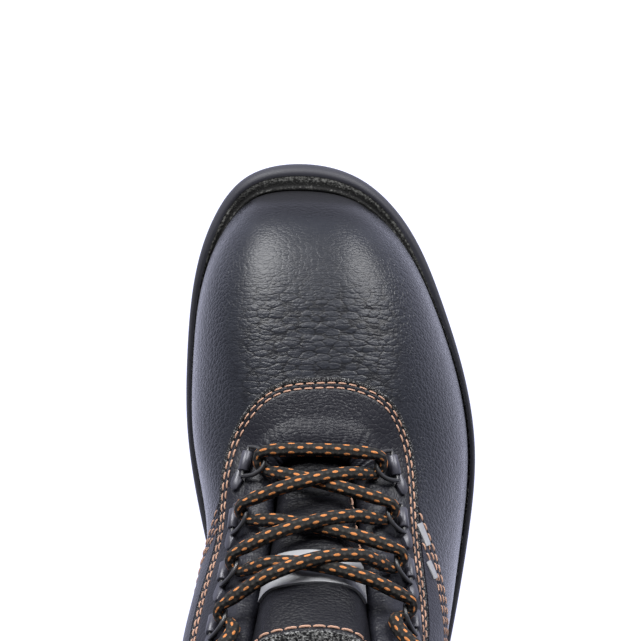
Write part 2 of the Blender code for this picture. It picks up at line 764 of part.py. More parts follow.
def ring_frames(side):
    """Place of each ring on one side, and its directions: along the facing, to the throat, outwards."""
    depth = RING_DEPTH[side]
    u = np.array([loop_place(rib, side) for rib in np.linspace(3.0, 8.5, 111)])
    line = on_facing(u, depth)
    run = np.concatenate([[0.0], np.cumsum(np.linalg.norm(np.diff(line, axis=0), axis=1))])
    first = np.interp(-RING_FIRST_Y[side], -line[:, 1], run)
    frames = []
    for pair in range(RING_PAIRS):
        share = np.interp(first + pair * RING_PITCH[side], run, np.arange(len(u)))
        at = float(np.interp(share, np.arange(len(u)), u))
        place = on_facing(at, depth)[0]
        along = unit(on_facing(at + 1.0, depth)[0] - on_facing(at - 1.0, depth)[0])
        inwards = place - on_facing(at, depth + RING_FACE)[0]
        inwards = unit(inwards - np.dot(inwards, along) * along)
        frames.append((place, along, inwards, np.cross(along, inwards)))
    return frames


def tube(points, radius, sides, closed=False):
    """Points and faces of a round bar along a path, with flat ends unless it is closed."""
    points = np.asarray(points, float)
    count = len(points)
    if closed:
        tangents = unit(np.roll(points, -1, axis=0) - np.roll(points, 1, axis=0))
    else:
        tangents = unit(np.gradient(points, axis=0))
    across = np.cross(tangents[0], [0.0, 0.0, 1.0])
    if np.linalg.norm(across) < 0.1:
        across = np.cross(tangents[0], [0.0, 1.0, 0.0])
    rings = []
    for point, tangent in zip(points, tangents):
        across = unit(across - np.dot(across, tangent) * tangent)
        other = np.cross(tangent, across)
        turns = np.arange(sides) * 2 * math.pi / sides
        rings.append(point + radius * (np.outer(np.cos(turns), across) + np.outer(np.sin(turns), other)))
    faces = []
    for i in range(count if closed else count - 1):
        here, ahead = i * sides, (i + 1) % count * sides
        for j in range(sides):
            k = (j + 1) % sides
            faces.append((here + j, here + k, ahead + k, ahead + j))
    if not closed:
        faces += [tuple(range(sides))[::-1], tuple(range((count - 1) * sides, count * sides))]
    return np.concatenate(rings), faces


def joined(name, shapes, finish):
    """One solid from several closed shapes that run into each other."""
    pieces = [new_object(f"{name}_{i}", points, faces, finish) for i, (points, faces) in enumerate(shapes)]
    for piece in pieces[1:]:
        union = pieces[0].modifiers.new("join", "BOOLEAN")
        union.operation = "UNION"
        union.solver = "EXACT"
        union.object = piece
    ready = pieces[0].evaluated_get(bpy.context.evaluated_depsgraph_get())
    mesh = bpy.data.meshes.new_from_object(ready)
    for piece in pieces:
        bpy.data.objects.remove(piece)
    mesh.name = name
    made = bpy.data.objects.new(name, mesh)
    bpy.context.scene.collection.objects.link(made)
    return made


def ring_shapes(to_collar):
    """Plate, rolled barrel and wire of a ring: x along the facing, y towards the throat, z outwards."""
    plan = [(to_collar * x, y) for x, y in PLATE_PLAN]
    plate = prism(plan if to_collar > 0 else plan[::-1], PLATE_LOW, lambda y: PLATE_TOP)
    barrel_z = BARREL_RADIUS
    ends = [(-BARREL_LENGTH / 2, 0.5, barrel_z), (BARREL_LENGTH / 2, 0.5, barrel_z)]
    barrel = tube(ends, BARREL_RADIUS, BARREL_SIDES)
    turns = np.linspace(0, math.pi, WIRE_STEPS)
    bow = [(D_HALF * math.cos(turn), D_REACH * math.sin(turn) ** 0.75) for turn in turns]
    path = [(x, 0.5 + r * math.cos(D_TILT), barrel_z + r * math.sin(D_TILT)) for x, r in bow]
    wire = tube(path, WIRE_RADIUS, WIRE_SIDES, closed=True)
    return (np.array(plate[0]), plate[1]), barrel, wire


def build_rings(finish):
    for side, side_name in enumerate(("inner", "outer")):
        to_collar = np.sign(RINGS[side][0][1][2])
        pattern = joined("lace_ring", ring_shapes(to_collar), finish)
        for pair, (place, along, inwards, outwards) in enumerate(RINGS[side], 1):
            ring = bpy.data.objects.new(f"lace_ring_{side_name}_{pair}", pattern.data)
            axes = Matrix([along, inwards, outwards]).transposed().to_4x4()
            ring.matrix_world = Matrix.Translation(Vector(place * MM)) @ axes
            bpy.context.scene.collection.objects.link(ring)
        bpy.data.objects.remove(pattern)


# The lace: a straight bar at the first pair of rings, a crossing from each pair to the next up to the fourth,
# and a run on each side from there to the fifth.

LACE_RADIUS = 2.5
LACE_SIDES = 7
LACE_STEPS = 11
LACE_START = 10.2
LACE_START_HEIGHT = 6.2
LACE_BESIDE = 2.65
LACE_CLEARANCE = (0.8, 1.2, 2.0)
LACE_STACK = 3.4
BAR_FORWARD = 2.5
BAR_RISE = 2.0
SIDE_RUN_INWARDS = 0.2
SIDE_RUN_SAG = 1.0
RINGS = [ring_frames(side) for side in (0, 1)]


def lace_end(side, pair, towards):
    """Where a run of lace ends in front of a ring: beside the run to the toe (-1) or the collar (1)."""
    place, along, inwards, outwards = RINGS[side][pair]
    to_collar = along * np.sign(along[2])
    return place + LACE_START * inwards + LACE_START_HEIGHT * outwards + towards * LACE_BESIDE * to_collar


def over_tongue(point, out):
    """Height above a point, along a direction, at which a lace lies on the middle of the tongue."""
    middles = np.array([tongue_row(rib)[0] for rib in np.linspace(3.6, TONGUE_TOP, 24)])
    middles = middles[:, middles.shape[1] // 2]
    away = middles - point
    height = away @ out
    aside = away - np.outer(height, out)
    aside[:, 0] = 0.0
    return max(0.0, float(height[np.argmin(np.linalg.norm(aside, axis=1))])) + LACE_RADIUS


def lace_run(start, end, middle):
    """Path of a lace from ring to ring that rises smoothly over a point in the middle."""
    way = column(np.linspace(0, 1, LACE_STEPS))
    straight = start + way * (end - start)
    arch = (4 * way * (1 - way)) ** 0.8
    return straight + arch * (middle - (start + end) / 2)


def build_lace(finish):
    left, right = (lace_end(side, 0, -1) for side in (0, 1))
    middle = (left + right) / 2 + np.array([0.0, BAR_FORWARD, BAR_RISE])
    points, faces = tube(lace_run(left, right, middle), LACE_RADIUS, LACE_SIDES)
    new_object("lace_bar", points, faces, finish)
    for pair in range(RING_PAIRS - 2):
        lower = [lace_end(side, pair, 1) for side in (0, 1)]
        upper = [lace_end(side, pair + 1, -1) for side in (0, 1)]
        out = sum(RINGS[side][row][3] for side in (0, 1) for row in (pair, pair + 1))
        out = unit(np.array([0.0, out[1], out[2]]))
        centre = np.mean(lower + upper, axis=0)
        rest = centre + (over_tongue(centre, out) + LACE_CLEARANCE[pair]) * out
        under = lace_run(lower[0], upper[1], rest)
        over = lace_run(lower[1], upper[0], rest + LACE_STACK * out)
        shapes = [tube(run, LACE_RADIUS, LACE_SIDES) for run in (under, over)]
        joined(f"lace_crossing_{pair + 1}", shapes, finish)
    for side, side_name in enumerate(("inner", "outer")):
        inwards, outwards = (unit(RINGS[side][3][i] + RINGS[side][4][i]) for i in (2, 3))
        start, end = lace_end(side, 3, 1), lace_end(side, 4, -1)
        beside = SIDE_RUN_INWARDS * inwards
        middle = (start + end) / 2 + beside - SIDE_RUN_SAG * outwards
        points, faces = tube(lace_run(start + beside, end + beside, middle), LACE_RADIUS, LACE_SIDES)
        new_object(f"lace_run_{side_name}", points, faces, finish)


def main():
    for old in list(bpy.data.objects):
        bpy.data.objects.remove(old)
    leather = finish_of("black leather", (0.03, 0.031, 0.036), 0.5)
    facing_leather = finish_of("black facing leather", (0.028, 0.028, 0.032), 0.5)
    rubber = finish_of("black polyurethane", (0.02, 0.02, 0.022), 0.6)
    foam = finish_of("grey footbed", (0.12, 0.12, 0.13), 0.9)
    label = finish_of("grey reflective label", (0.5, 0.5, 0.52), 0.5)
    cord = finish_of("black and orange lace", (0.06, 0.04, 0.03), 0.9)
    paint = finish_of("black painted metal", (0.05, 0.05, 0.06), 0.4, 0.3)
    build_upper(leather)
    build_facing(facing_leather)
    build_quarters(leather)
    build_midsole(rubber)
    build_outsole(rubber)
    build_insole(foam)
    build_tongue(leather)
    build_label(label)
    build_rings(paint)
    build_lace(cord)


if __name__ == "__main__":
    main()
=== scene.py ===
"""Looks of a right safety boot: black leather, tan stitching, an orange-flecked lace and a black sole.

Sizes are in millimetres unless a name says otherwise; meshes are made in metres, in the part's own frame:
toe towards +Y, outer side of the foot towards +X, sole on z = 0.
"""

import math
from collections import namedtuple

import bmesh
import bpy
import numpy as np
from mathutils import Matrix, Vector


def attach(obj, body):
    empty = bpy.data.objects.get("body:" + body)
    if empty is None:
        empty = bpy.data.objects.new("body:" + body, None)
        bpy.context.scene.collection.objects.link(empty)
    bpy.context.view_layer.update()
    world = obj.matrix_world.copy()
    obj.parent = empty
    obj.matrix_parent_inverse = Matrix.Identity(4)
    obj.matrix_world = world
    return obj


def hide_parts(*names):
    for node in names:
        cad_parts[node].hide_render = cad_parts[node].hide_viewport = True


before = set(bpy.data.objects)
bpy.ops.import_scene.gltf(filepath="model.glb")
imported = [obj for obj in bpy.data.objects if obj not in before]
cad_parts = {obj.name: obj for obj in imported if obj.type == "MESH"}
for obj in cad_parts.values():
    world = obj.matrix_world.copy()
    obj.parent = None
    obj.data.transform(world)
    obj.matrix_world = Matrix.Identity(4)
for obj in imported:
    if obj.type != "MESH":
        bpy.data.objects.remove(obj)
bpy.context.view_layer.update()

# Upper
# The vamp and shaft are full-grain black leather with a textile lining, sewn flat and pulled over a last.
# The last is given here by its ribs, which run from the sole edge up to the opening of the boot.

MM = 0.001
SOLE_LENGTH = 302.0
BALL_WIDTH = 109.0
SOLE_GAP = 0.3
LEATHER_WALL = 2.4
PADDING_STARTS, PADDING_FULL = 0.74, 0.97
COLLAR_PUFF, COLLAR_PUFF_STARTS = 2.5, 0.79
COLLAR_PADDING = (6.5, 8.0)

# inner and outer: sole edge on the big-toe side and the other side, as percent of half the ball width
#   and percent of the sole length from the heel.
# rim: from the sole edge in to the leather. gap, top_along, top: half width, place and height of the opening.
# lean and rise: lower handle of the rib. reach and drop: its upper handle. pad: roll at the opening.
# band: depth of the facing and collar below the opening. Pairs are (big-toe side, other side).
Rib = namedtuple("Rib", "name inner outer rim gap top_along top lean rise reach drop pad band")
RIBS = (
    Rib("toe", (-21, 100), (-21, 100), 10.5, 0, 66.1, 85, (4, 4), 42, (62, 62), 9, 5, (24, 24)),
    Rib("toe front", (-59.5, 98.2), (20, 98.2), 9.0, 6.5, 66.0, 84.8,
        (4, 4), 42, (60, 60), 9, 5, (23.5, 24.5)),
    Rib("toe corner", (-81, 93.2), (50, 93.2), 6.5, 11.5, 65.5, 84.2,
        (3.5, 3.5), 40, (54, 54), 9, 5, (21.5, 24.5)),
    Rib("toe side", (-94, 85.7), (76.5, 83.2), 4.2, 15, 64.7, 83.6, (3, 3), 36, (42, 42), 9, 5, (19, 23)),
    Rib("ball front", (-99, 76.5), (92, 74.2), 3.2, 16.8, 63.2, 84, (2, 2), 33, (32, 32), 9, 5, (18.5, 21.5)),
    Rib("ball", (-99, 67.2), (100, 63.9), 3.0, 18, 60.3, 89, (1.5, 1.5), 33, (26, 26), 9, 5, (19, 20.5)),
    Rib("waist front", (-89, 55.7), (95.5, 54.3), 3.0, 20, 54.6, 101.5,
        (0, 1), 38, (21, 23), 9, 5, (20.5, 20)),
    Rib("waist", (-75, 42.7), (83.5, 42), 3.6, 24, 46.7, 124, (6, 1), 54, (40, 24), 13, 5.5, (23, 22)),
    Rib("shank", (-71.5, 34.1), (74.5, 34.1), 5.0, 29.5, 39.7, 146.5,
        (9, 3), 50, (33, 13), 32, 6.5, (25, 25)),
    Rib("heel front", (-69.5, 24.2), (67, 24.2), 4.6, 38, 33.4, 150, (8, 4), 45, (12, 5), 40, 8, (27, 27)),
    Rib("heel side", (-73.5, 13), (64, 13), 3.8, 43, 20.2, 148.5, (4, 4), 40, (1, 1), 40, 8, (29, 29)),
    Rib("heel corner", (-49.5, 3.1), (39.5, 3.1), 3.6, 29, 7.6, 150.5, (4, 4), 40, (-4, -4), 42, 8, (29, 29)),
    Rib("heel", (-5.5, 0), (-5.5, 0), 3.8, 0, 3.3, 152, (6, 6), 42, (-6, -6), 42, 8, (29, 29)),
)
SoleHeight = namedtuple("SoleHeight", "along ground bed rim")
SOLE_HEIGHTS = (
    SoleHeight(0, 3, 32, 41),
    SoleHeight(17, 0, 31, 40),
    SoleHeight(35, 0, 28, 36.5),
    SoleHeight(50, 0, 23, 31),
    SoleHeight(64, 0, 20.5, 28),
    SoleHeight(80, 0, 21.5, 29),
    SoleHeight(93, 5.5, 25, 33),
    SoleHeight(100, 13, 28, 38),
)
OPENING_AXIS_ALONG = (3.3, 42, 53, 66.1)
OPENING_AXIS_X = (-4.5, -7.5, -5.5, -5.5)


def along_to_y(along):
    return (np.asarray(along, float) / 100 - 0.5) * SOLE_LENGTH


def y_to_along(y):
    return (np.asarray(y, float) / SOLE_LENGTH + 0.5) * 100


def column(values):
    return np.asarray(values, float)[..., None]


def unit(vectors):
    return vectors / np.linalg.norm(vectors, axis=-1, keepdims=True)


def eased(low, high, value):
    share = np.clip((np.asarray(value, float) - low) / (high - low), 0, 1)
    return share * share * (3 - 2 * share)


def at_height(xy, z):
    return np.concatenate([xy, column(z)], axis=-1)


def beside(*rows):
    return np.concatenate(rows, axis=1)


def travel(points, axis=0):
    """Length of the way along rows of points, from 0 at the first."""
    steps = np.linalg.norm(np.diff(points, axis=axis), axis=-1)
    return np.concatenate([np.zeros_like(steps.take([0], axis)), np.cumsum(steps, axis=axis)], axis=axis)


class ClosedSpline:
    """Cubic curve with continuous curvature through rows of values, round a closed loop."""

    def __init__(self, knots, period, values):
        self.knots = np.asarray(knots, float)
        self.period = period
        self.values = np.asarray(values, float)
        count = len(self.knots)
        self.steps = np.diff(np.append(self.knots, self.knots[0] + period))
        ahead = np.roll(np.arange(count), -1)
        behind = np.roll(np.arange(count), 1)
        system = np.zeros((count, count))
        system[np.arange(count), behind] += self.steps[behind]
        system[np.arange(count), np.arange(count)] += 2 * (self.steps[behind] + self.steps)
        system[np.arange(count), ahead] += self.steps
        steps = self.steps.reshape((-1,) + (1,) * (self.values.ndim - 1))
        slopes = (self.values[ahead] - self.values) / steps
        self.bends = np.linalg.solve(system, 6 * (slopes - slopes[behind]))

    def __call__(self, u):
        u = np.mod(np.asarray(u, float) - self.knots[0], self.period) + self.knots[0]
        left = np.clip(np.searchsorted(self.knots, u, side="right") - 1, 0, len(self.knots) - 1)
        right = (left + 1) % len(self.knots)
        step = self.steps[left]
        b = (u - self.knots[left]) / step
        a = 1 - b
        shape = u.shape + (1,) * (self.values.ndim - 1)
        a, b, step = a.reshape(shape), b.reshape(shape), step.reshape(shape)
        bend = (a**3 - a) * self.bends[left] + (b**3 - b) * self.bends[right]
        return a * self.values[left] + b * self.values[right] + bend * step**2 / 6


# The loop of ribs runs from the toe along the big-toe side to the heel, and back on the other side.
HALF = len(RIBS) - 1
LOOP = [(row, 0) for row in RIBS] + [(row, 1) for row in RIBS[-2:0:-1]]


def loop_values(pick):
    return np.array([pick(row, side) for row, side in LOOP], float)


def sole_edge_point(row, side):
    across, along = row.outer if side else row.inner
    return [across / 100 * BALL_WIDTH / 2, float(along_to_y(along))]


def opening_point(row, side):
    y = float(along_to_y(row.top_along))
    axis_x = np.interp(row.top_along, OPENING_AXIS_ALONG, OPENING_AXIS_X)
    return [axis_x + (row.gap if side else -row.gap), y, row.top]


EDGE_POINTS = loop_values(sole_edge_point)
EDGE_STEPS = np.linalg.norm(np.roll(EDGE_POINTS, -1, axis=0) - EDGE_POINTS, axis=1)
PERIOD = float(EDGE_STEPS.sum())
KNOTS = np.concatenate([[0.0], np.cumsum(EDGE_STEPS)[:-1]])


def spline_of(pick):
    return ClosedSpline(KNOTS, PERIOD, loop_values(pick))


def rib_spline(name):
    """Curve through one size of the ribs; where the size is a pair, each side has its own."""
    return spline_of(lambda row, side: np.broadcast_to(getattr(row, name), 2)[side])


EDGE = ClosedSpline(KNOTS, PERIOD, EDGE_POINTS)
OPENING = spline_of(opening_point)
RIB_SIZES = ("rim", "lean", "rise", "reach", "drop", "pad", "band")
RIM, LEAN, RISE, REACH, DROP, PAD, BAND = map(rib_spline, RIB_SIZES)
# Half the distance between the points from which a direction is taken, round the loop and up a rib.
NEAR_U, NEAR_T = 0.5, 0.004


def loop_place(rib, side=0):
    """Place on the loop of a rib, counted from the toe and with fractions. Side 1 is the outer side."""
    if side == 0:
        return float(np.interp(rib, np.arange(HALF + 1), KNOTS[: HALF + 1]))
    knots_back = PERIOD - np.append(KNOTS[HALF:], PERIOD)[::-1]
    return -float(np.interp(rib, np.arange(HALF + 1), knots_back))


def edge_outwards(u):
    tangent = EDGE(np.asarray(u, float) + NEAR_U) - EDGE(np.asarray(u, float) - NEAR_U)
    return unit(np.stack([tangent[..., 1], -tangent[..., 0]], axis=-1))


def edge_inset(u, inset):
    return EDGE(u) - column(inset) * edge_outwards(u)


def sole_height(y, name):
    """Height of the sole's ground, bed or rim at a distance along the boot, eased between the rows."""
    along = np.array([row.along for row in SOLE_HEIGHTS], float)
    heights = np.array([getattr(row, name) for row in SOLE_HEIGHTS], float)
    steps = np.diff(heights) / np.diff(along)
    level = steps[:-1] * steps[1:] <= 0
    inner = np.where(level, 0.0, 2 * steps[:-1] * steps[1:] / np.where(level, 1.0, steps[:-1] + steps[1:]))
    slopes = np.concatenate([steps[:1], inner, steps[-1:]])
    at = np.clip(y_to_along(y), 0, 100)
    left = np.clip(np.searchsorted(along, at, side="right") - 1, 0, len(along) - 2)
    width = along[left + 1] - along[left]
    share = (at - along[left]) / width
    s2, s3 = share**2, share**3
    start = (2 * s3 - 3 * s2 + 1) * heights[left] + (s3 - 2 * s2 + share) * width * slopes[left]
    return start + (3 * s2 - 2 * s3) * heights[left + 1] + (s3 - s2) * width * slopes[left + 1]


NORMAL_PULL = 25.0


def skin(u, t):
    """Outer surface of the upper. t runs from 0 at the sole to 1 at the opening."""
    u, t = np.broadcast_arrays(np.asarray(u, float), np.asarray(t, float))
    level = np.zeros(u.shape)
    outwards = edge_outwards(u)
    foot_xy = edge_inset(u, RIM(u))
    foot = at_height(foot_xy, sole_height(foot_xy[..., 1], "bed") + SOLE_GAP)
    top = OPENING(u)
    out3 = at_height(outwards, level)
    aim = at_height(unit(foot_xy - top[..., :2] + NORMAL_PULL * outwards), level)
    up = np.array([0.0, 0.0, 1.0])
    lower = foot + column(LEAN(u)) * out3 + column(RISE(u)) * up
    upper = top + column(REACH(u)) * aim - column(DROP(u)) * up
    collar = eased(*COLLAR_PADDING, PAD(u))
    swell = np.clip((t - COLLAR_PUFF_STARTS) / (1 - COLLAR_PUFF_STARTS), 0, 1)
    bulge = out3 * column(COLLAR_PUFF * collar * np.sin(math.pi * swell) ** 2)
    t = column(t)
    s = 1 - t
    return s**3 * foot + 3 * s**2 * t * lower + 3 * s * t**2 * upper + t**3 * top + bulge


def skin_frame(u, t):
    """Outward normal and upward tangent of the upper's outer surface."""
    u, t = np.broadcast_arrays(np.asarray(u, float), np.asarray(t, float))
    around = skin(u + NEAR_U, t) - skin(u - NEAR_U, t)
    upwards = skin(u, t + NEAR_T) - skin(u, t - NEAR_T)
    return unit(np.cross(around, upwards)), unit(upwards)


def skin_offset(u, t, distance):
    return skin(u, t) + column(distance) * skin_frame(u, t)[0]


def wall(u, t):
    return LEATHER_WALL + (PAD(u) - LEATHER_WALL) * eased(PADDING_STARTS, PADDING_FULL, t)


def half_turn(rows):
    return np.linspace(0, math.pi, rows + 2)[1:-1]


def roll_rows(u, turns, lift):
    """Rows of points over the round edge of the opening, from outside to inside, at a lift for each turn."""
    normal, upwards = skin_frame(u, np.ones(len(u)))
    radius = column(wall(u, 1.0) / 2)
    centre = skin(u, 1.0) - radius * normal
    rows = [centre + (radius + lift(a)) * (math.cos(a) * normal + math.sin(a) * upwards) for a in turns]
    return np.stack(rows, axis=1)


RIB_SAMPLES = np.linspace(0, 1, 81)
FOOT_SAMPLES = RIB_SAMPLES[:27]


def rib_share(u, depth):
    """The t of the points that lie a depth below the opening, measured along each rib."""
    u, depth = np.broadcast_arrays(np.asarray(u, float), np.asarray(depth, float))
    below = travel(skin(u[:, None], RIB_SAMPLES[None, ::-1]), axis=1)
    return np.array([np.interp(d, row, RIB_SAMPLES[::-1]) for d, row in zip(depth, below)])


def share_at_height(u, z):
    """The t at which the ribs near the sole reach a height."""
    heights = skin(u[:, None], FOOT_SAMPLES[None, :])[..., 2]
    return np.array([np.interp(height, row, FOOT_SAMPLES) for height, row in zip(z, heights)])


SMOOTH_ANGLE = math.radians(50)


def quads_between(index, closed=False):
    """Faces between rows of point numbers, each row a ring; closed joins the last row to the first."""
    here = index if closed else index[..., :-1, :]
    ahead = np.roll(index, -1, axis=0) if closed else index[..., 1:, :]
    quads = np.stack([here, np.roll(here, -1, axis=-1), np.roll(ahead, -1, axis=-1), ahead], axis=-1)
    return quads.reshape(-1, 4).tolist()


def outward_mesh(name, points, faces):
    """A mesh from points in millimetres, with its faces turned outwards."""
    mesh = bpy.data.meshes.new(name)
    mesh.from_pydata((np.asarray(points, float) * MM).tolist(), [], faces)
    work = bmesh.new()
    work.from_mesh(mesh)
    bmesh.ops.recalc_face_normals(work, faces=work.faces)
    work.to_mesh(mesh)
    work.free()
    return mesh


def put_in_scene(name, data):
    """An object for a mesh, a lamp or a camera."""
    made = bpy.data.objects.new(name, data)
    bpy.context.scene.collection.objects.link(made)
    return made


def new_piece(name, points, faces, finishes, marks=None):
    """A piece from points in millimetres that rides on the boot. marks are named values at its points."""
    mesh = outward_mesh(name, points, faces)
    for mark, values in (marks or {}).items():
        layer = mesh.attributes.new(mark, "FLOAT", "POINT")
        layer.data.foreach_set("value", np.asarray(values, np.float32).ravel())
    mesh.shade_smooth()
    mesh.set_sharp_from_angle(angle=SMOOTH_ANGLE)
    for finish in finishes:
        mesh.materials.append(finish.material)
    piece = put_in_scene(name, mesh)
    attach(piece, "root")
    return piece


def lofted(name, profiles, finishes, marks=None, closed=False):
    """A closed skin through profiles, each an outer row of points and then an inner row, backwards."""
    count, size = profiles.shape[:2]
    index = np.arange(count * size).reshape(count, size)
    faces = quads_between(index, closed)
    if not closed:
        steps = range(size // 2 - 1)
        for end in (index[0], index[-1]):
            faces += [(end[j], end[j + 1], end[size - 2 - j], end[size - 1 - j]) for j in steps]
    return new_piece(name, profiles.reshape(-1, 3), faces, finishes, marks)


class Value:
    """What one of a finish's nodes gives out. Reckoning with it adds more nodes."""

    def __init__(self, finish, socket):
        self.finish = finish
        self.socket = socket

    def __add__(self, other):
        return self.finish.math("ADD", self, other)

    def __sub__(self, other):
        return self.finish.math("SUBTRACT", self, other)

    def __mul__(self, other):
        return self.finish.math("MULTIPLY", self, other)

    def __truediv__(self, other):
        return self.finish.math("DIVIDE", self, other)


EVEN = (1.0, 1.0, 1.0)


class Finish:
    """A material built from its nodes: each call adds nodes and links or sets their inputs by name."""

    def __init__(self, name):
        self.material = bpy.data.materials.new(name)
        self.material.use_nodes = True
        self.tree = self.material.node_tree
        self.shader = self.tree.nodes["Principled BSDF"]

    def join(self, socket, value):
        if isinstance(value, Value):
            self.tree.links.new(value.socket, socket)
        else:
            socket.default_value = value

    def node(self, kind, output=0, settings=None, **inputs):
        made = self.tree.nodes.new("ShaderNode" + kind)
        for key, value in (settings or {}).items():
            setattr(made, key, value)
        for key, value in inputs.items():
            place = int(key[1:]) if key[0] == "i" and key[1:].isdigit() else key.replace("_", " ")
            self.join(made.inputs[place], value)
        return Value(self, made.outputs[output])

    def place(self, scale=EVEN, slant=0.0):
        """Position on the boot in millimetres, turned about the x axis by a slant and then stretched."""
        where = self.node("TexCoord", "Object")
        if slant:
            where = self.node("Mapping", Vector=where, Rotation=(slant, 0.0, 0.0))
        return self.node("Mapping", Vector=where, Scale=tuple(s / MM for s in scale))

    def mark(self, name):
        return self.node("Attribute", "Fac", {"attribute_name": name})

    def math(self, operation, *values):
        inputs = {f"i{i}": value for i, value in enumerate(values)}
        return self.node("Math", 0, {"operation": operation}, **inputs)

    def steps(self, value, low, high):
        settings = {"interpolation_type": "SMOOTHSTEP"}
        return self.node("MapRange", 0, settings, Value=value, From_Min=low, From_Max=high)

    def noise(self, size, detail=2.0, scale=EVEN):
        return self.node("TexNoise", "Fac", Vector=self.place(scale), Scale=1 / size, Detail=detail)

    def cells(self, size, where, feature="F1", randomness=1.0):
        return self.node("TexVoronoi", "Distance", {"feature": feature},
                         Vector=where, Scale=1 / size, Randomness=randomness)

    def knit(self):
        """Rounded loops of a lining with narrow gaps between them: 0 in a gap and 1 on a loop."""
        return self.steps(self.cells(0.9, self.place((1.0, 1.0, 0.8)), "DISTANCE_TO_EDGE"), 0.0, 0.3)

    def ripples(self, period, wander):
        """Rounded wrinkles across the boot with narrow valleys between them that wander and fork."""
        across = self.node("SeparateXYZ", "Y", Vector=self.place())
        way = self.noise(8.0) * wander + across
        way = self.noise(3.0, 2.0, (0.8, 1.0, 1.0)) * (0.55 * wander) + way
        return self.math("ABSOLUTE", self.math("SINE", way * (math.pi / period)))

    def scales(self, size, scale, slant=0.0):
        """Soft swellings side by side with thin valleys between them: 1 on top, lower in the valleys."""
        bent = self.node("TexNoise", "Color", Vector=self.place(), Scale=0.4 / size, Detail=1.0)
        where = self.node("VectorMath", 0, {"operation": "MULTIPLY_ADD"},
                          i0=bent, i1=(0.5 * size, 0.5 * size, 0.5 * size), i2=self.place(scale, slant))
        middles = self.cells(size, where, randomness=0.85)
        edges = self.cells(size, where, "DISTANCE_TO_EDGE", 0.85)
        return self.steps(edges, 0.0, 0.2) * 0.35 + (middles * middles * -0.7 + 0.65)

    def blend(self, share, first, second):
        made = self.tree.nodes.new("ShaderNodeMix")
        made.data_type = "RGBA"
        self.join(made.inputs["Factor"], share)
        for socket, value in ((made.inputs[6], first), (made.inputs[7], second)):
            self.join(socket, value if isinstance(value, Value) else (*value, 1.0))
        return Value(self, made.outputs[2])

    def tone(self, size, dark, light):
        """A colour that wanders between two, over a size in millimetres."""
        return self.blend(self.noise(size), dark, light)

    def relief(self, height, depth_mm):
        return self.node("Bump", Height=height, Distance=depth_mm * MM, Strength=1.0)

    def surface(self, **inputs):
        for key, value in inputs.items():
            self.join(self.shader.inputs[key.replace("_", " ")],
                      (*value, 1.0) if isinstance(value, tuple) else value)


# Main creases of the vamp where the foot bends: place along and across the boot, bow, depth and width.
Crease = namedtuple("Crease", "y x_from x_to bow depth width")
VAMP_CREASES = (
    Crease(98.6, -32, -14, 1.0, 0.15, 0.9),
    Crease(97.2, -20, 25, -1.6, 0.20, 1.0),
    Crease(93.6, -29, 8, -1.2, 0.22, 1.0),
    Crease(92.6, 2, 22, 1.4, 0.17, 0.9),
    Crease(89.2, -18, 15, -0.8, 0.24, 1.0),
    Crease(86.6, -25, 6, 1.0, 0.20, 1.0),
    Crease(85.4, 0, 20, 1.2, 0.17, 0.9),
    Crease(82.4, -19, 5, -1.5, 0.20, 1.0),
    Crease(79.0, -24, 0, 1.2, 0.18, 0.9),
    Crease(80.2, 0, 18, 1.0, 0.16, 0.9),
    Crease(75.6, -26, 12, -1.0, 0.17, 1.0),
)


def vamp_creases(points):
    """Depth of the creases: soft troughs with a low ridge on both sides."""
    x, y = points[..., 0], points[..., 1]
    height = np.zeros(x.shape)
    for crease in VAMP_CREASES:
        share = (x - crease.x_from) / (crease.x_to - crease.x_from)
        fade = eased(0, 0.25, share) * eased(1, 0.75, share)
        waves = 0.5 * np.sin(x * 0.42 + crease.y) + 0.3 * np.sin(x * 0.97 + 2.3 * crease.y)
        away = (y - crease.y - crease.bow * (1 - (2 * share - 1) ** 2) - waves) / crease.width
        height += crease.depth * fade * (0.45 * np.exp(-((np.abs(away) - 1.7) ** 2)) - np.exp(-(away**2)))
    return height


def bending_zone(points):
    """1 where the vamp wrinkles above the toe joints, fading to 0 around it."""
    x, y = points[..., 0] + 4.0, points[..., 1]
    front = 0.25 * eased(128, 110, y) + 0.75 * eased(112, 95, y)
    return eased(36, 20, np.abs(x)) * front * eased(56, 66, y)


UPPER_FRONT, UPPER_BACK, UPPER_ROWS, UPPER_ROLL, UPPER_INSIDE = 380, 140, 120, 9, 24
UPPER_FRONT_RIB = 7.0
TOE_FRONT = (112, 122)


def outside_mark(values):
    """Values on the outside of the upper, with 0 on its roll and on its inside."""
    return np.pad(values, ((0, 0), (0, UPPER_ROLL + UPPER_INSIDE)))


front_end = loop_place(UPPER_FRONT_RIB, 0)
front_start = loop_place(UPPER_FRONT_RIB, 1)
around = np.concatenate([
    np.linspace(front_start, front_end, UPPER_FRONT, endpoint=False),
    np.linspace(front_end, front_start + PERIOD, UPPER_BACK, endpoint=False),
])
around_column = column(around)
outside_t = np.linspace(0, 1, UPPER_ROWS)
inside_t = np.linspace(1, 0, UPPER_INSIDE)
outside = skin(around_column, outside_t)
outside_normal, _ = skin_frame(around_column, outside_t)
outside = outside + column(vamp_creases(outside)) * outside_normal
inside = skin_offset(around_column, inside_t, -wall(around_column, inside_t))
upper_points = beside(outside, roll_rows(around, half_turn(UPPER_ROLL), lambda turn: 0.0), inside)
lining_mark = np.zeros(upper_points.shape[:2])
lining_mark[:, UPPER_ROWS + UPPER_ROLL // 2 :] = 1.0
faces_side, faces_front = np.abs(outside_normal[..., 0]), outside_normal[..., 1]
toe_front = eased(*TOE_FRONT, outside[..., 1])
upper_marks = {
    "lining": lining_mark,
    "bending": outside_mark(bending_zone(outside)),
    "siding": outside_mark(eased(0.35, 0.75, faces_side)),
    "shaded_toe_front": outside_mark(eased(0.55, 0.85, faces_front) * toe_front),
    "steep": outside_mark(eased(0.80, 0.92, faces_front) * toe_front),
}

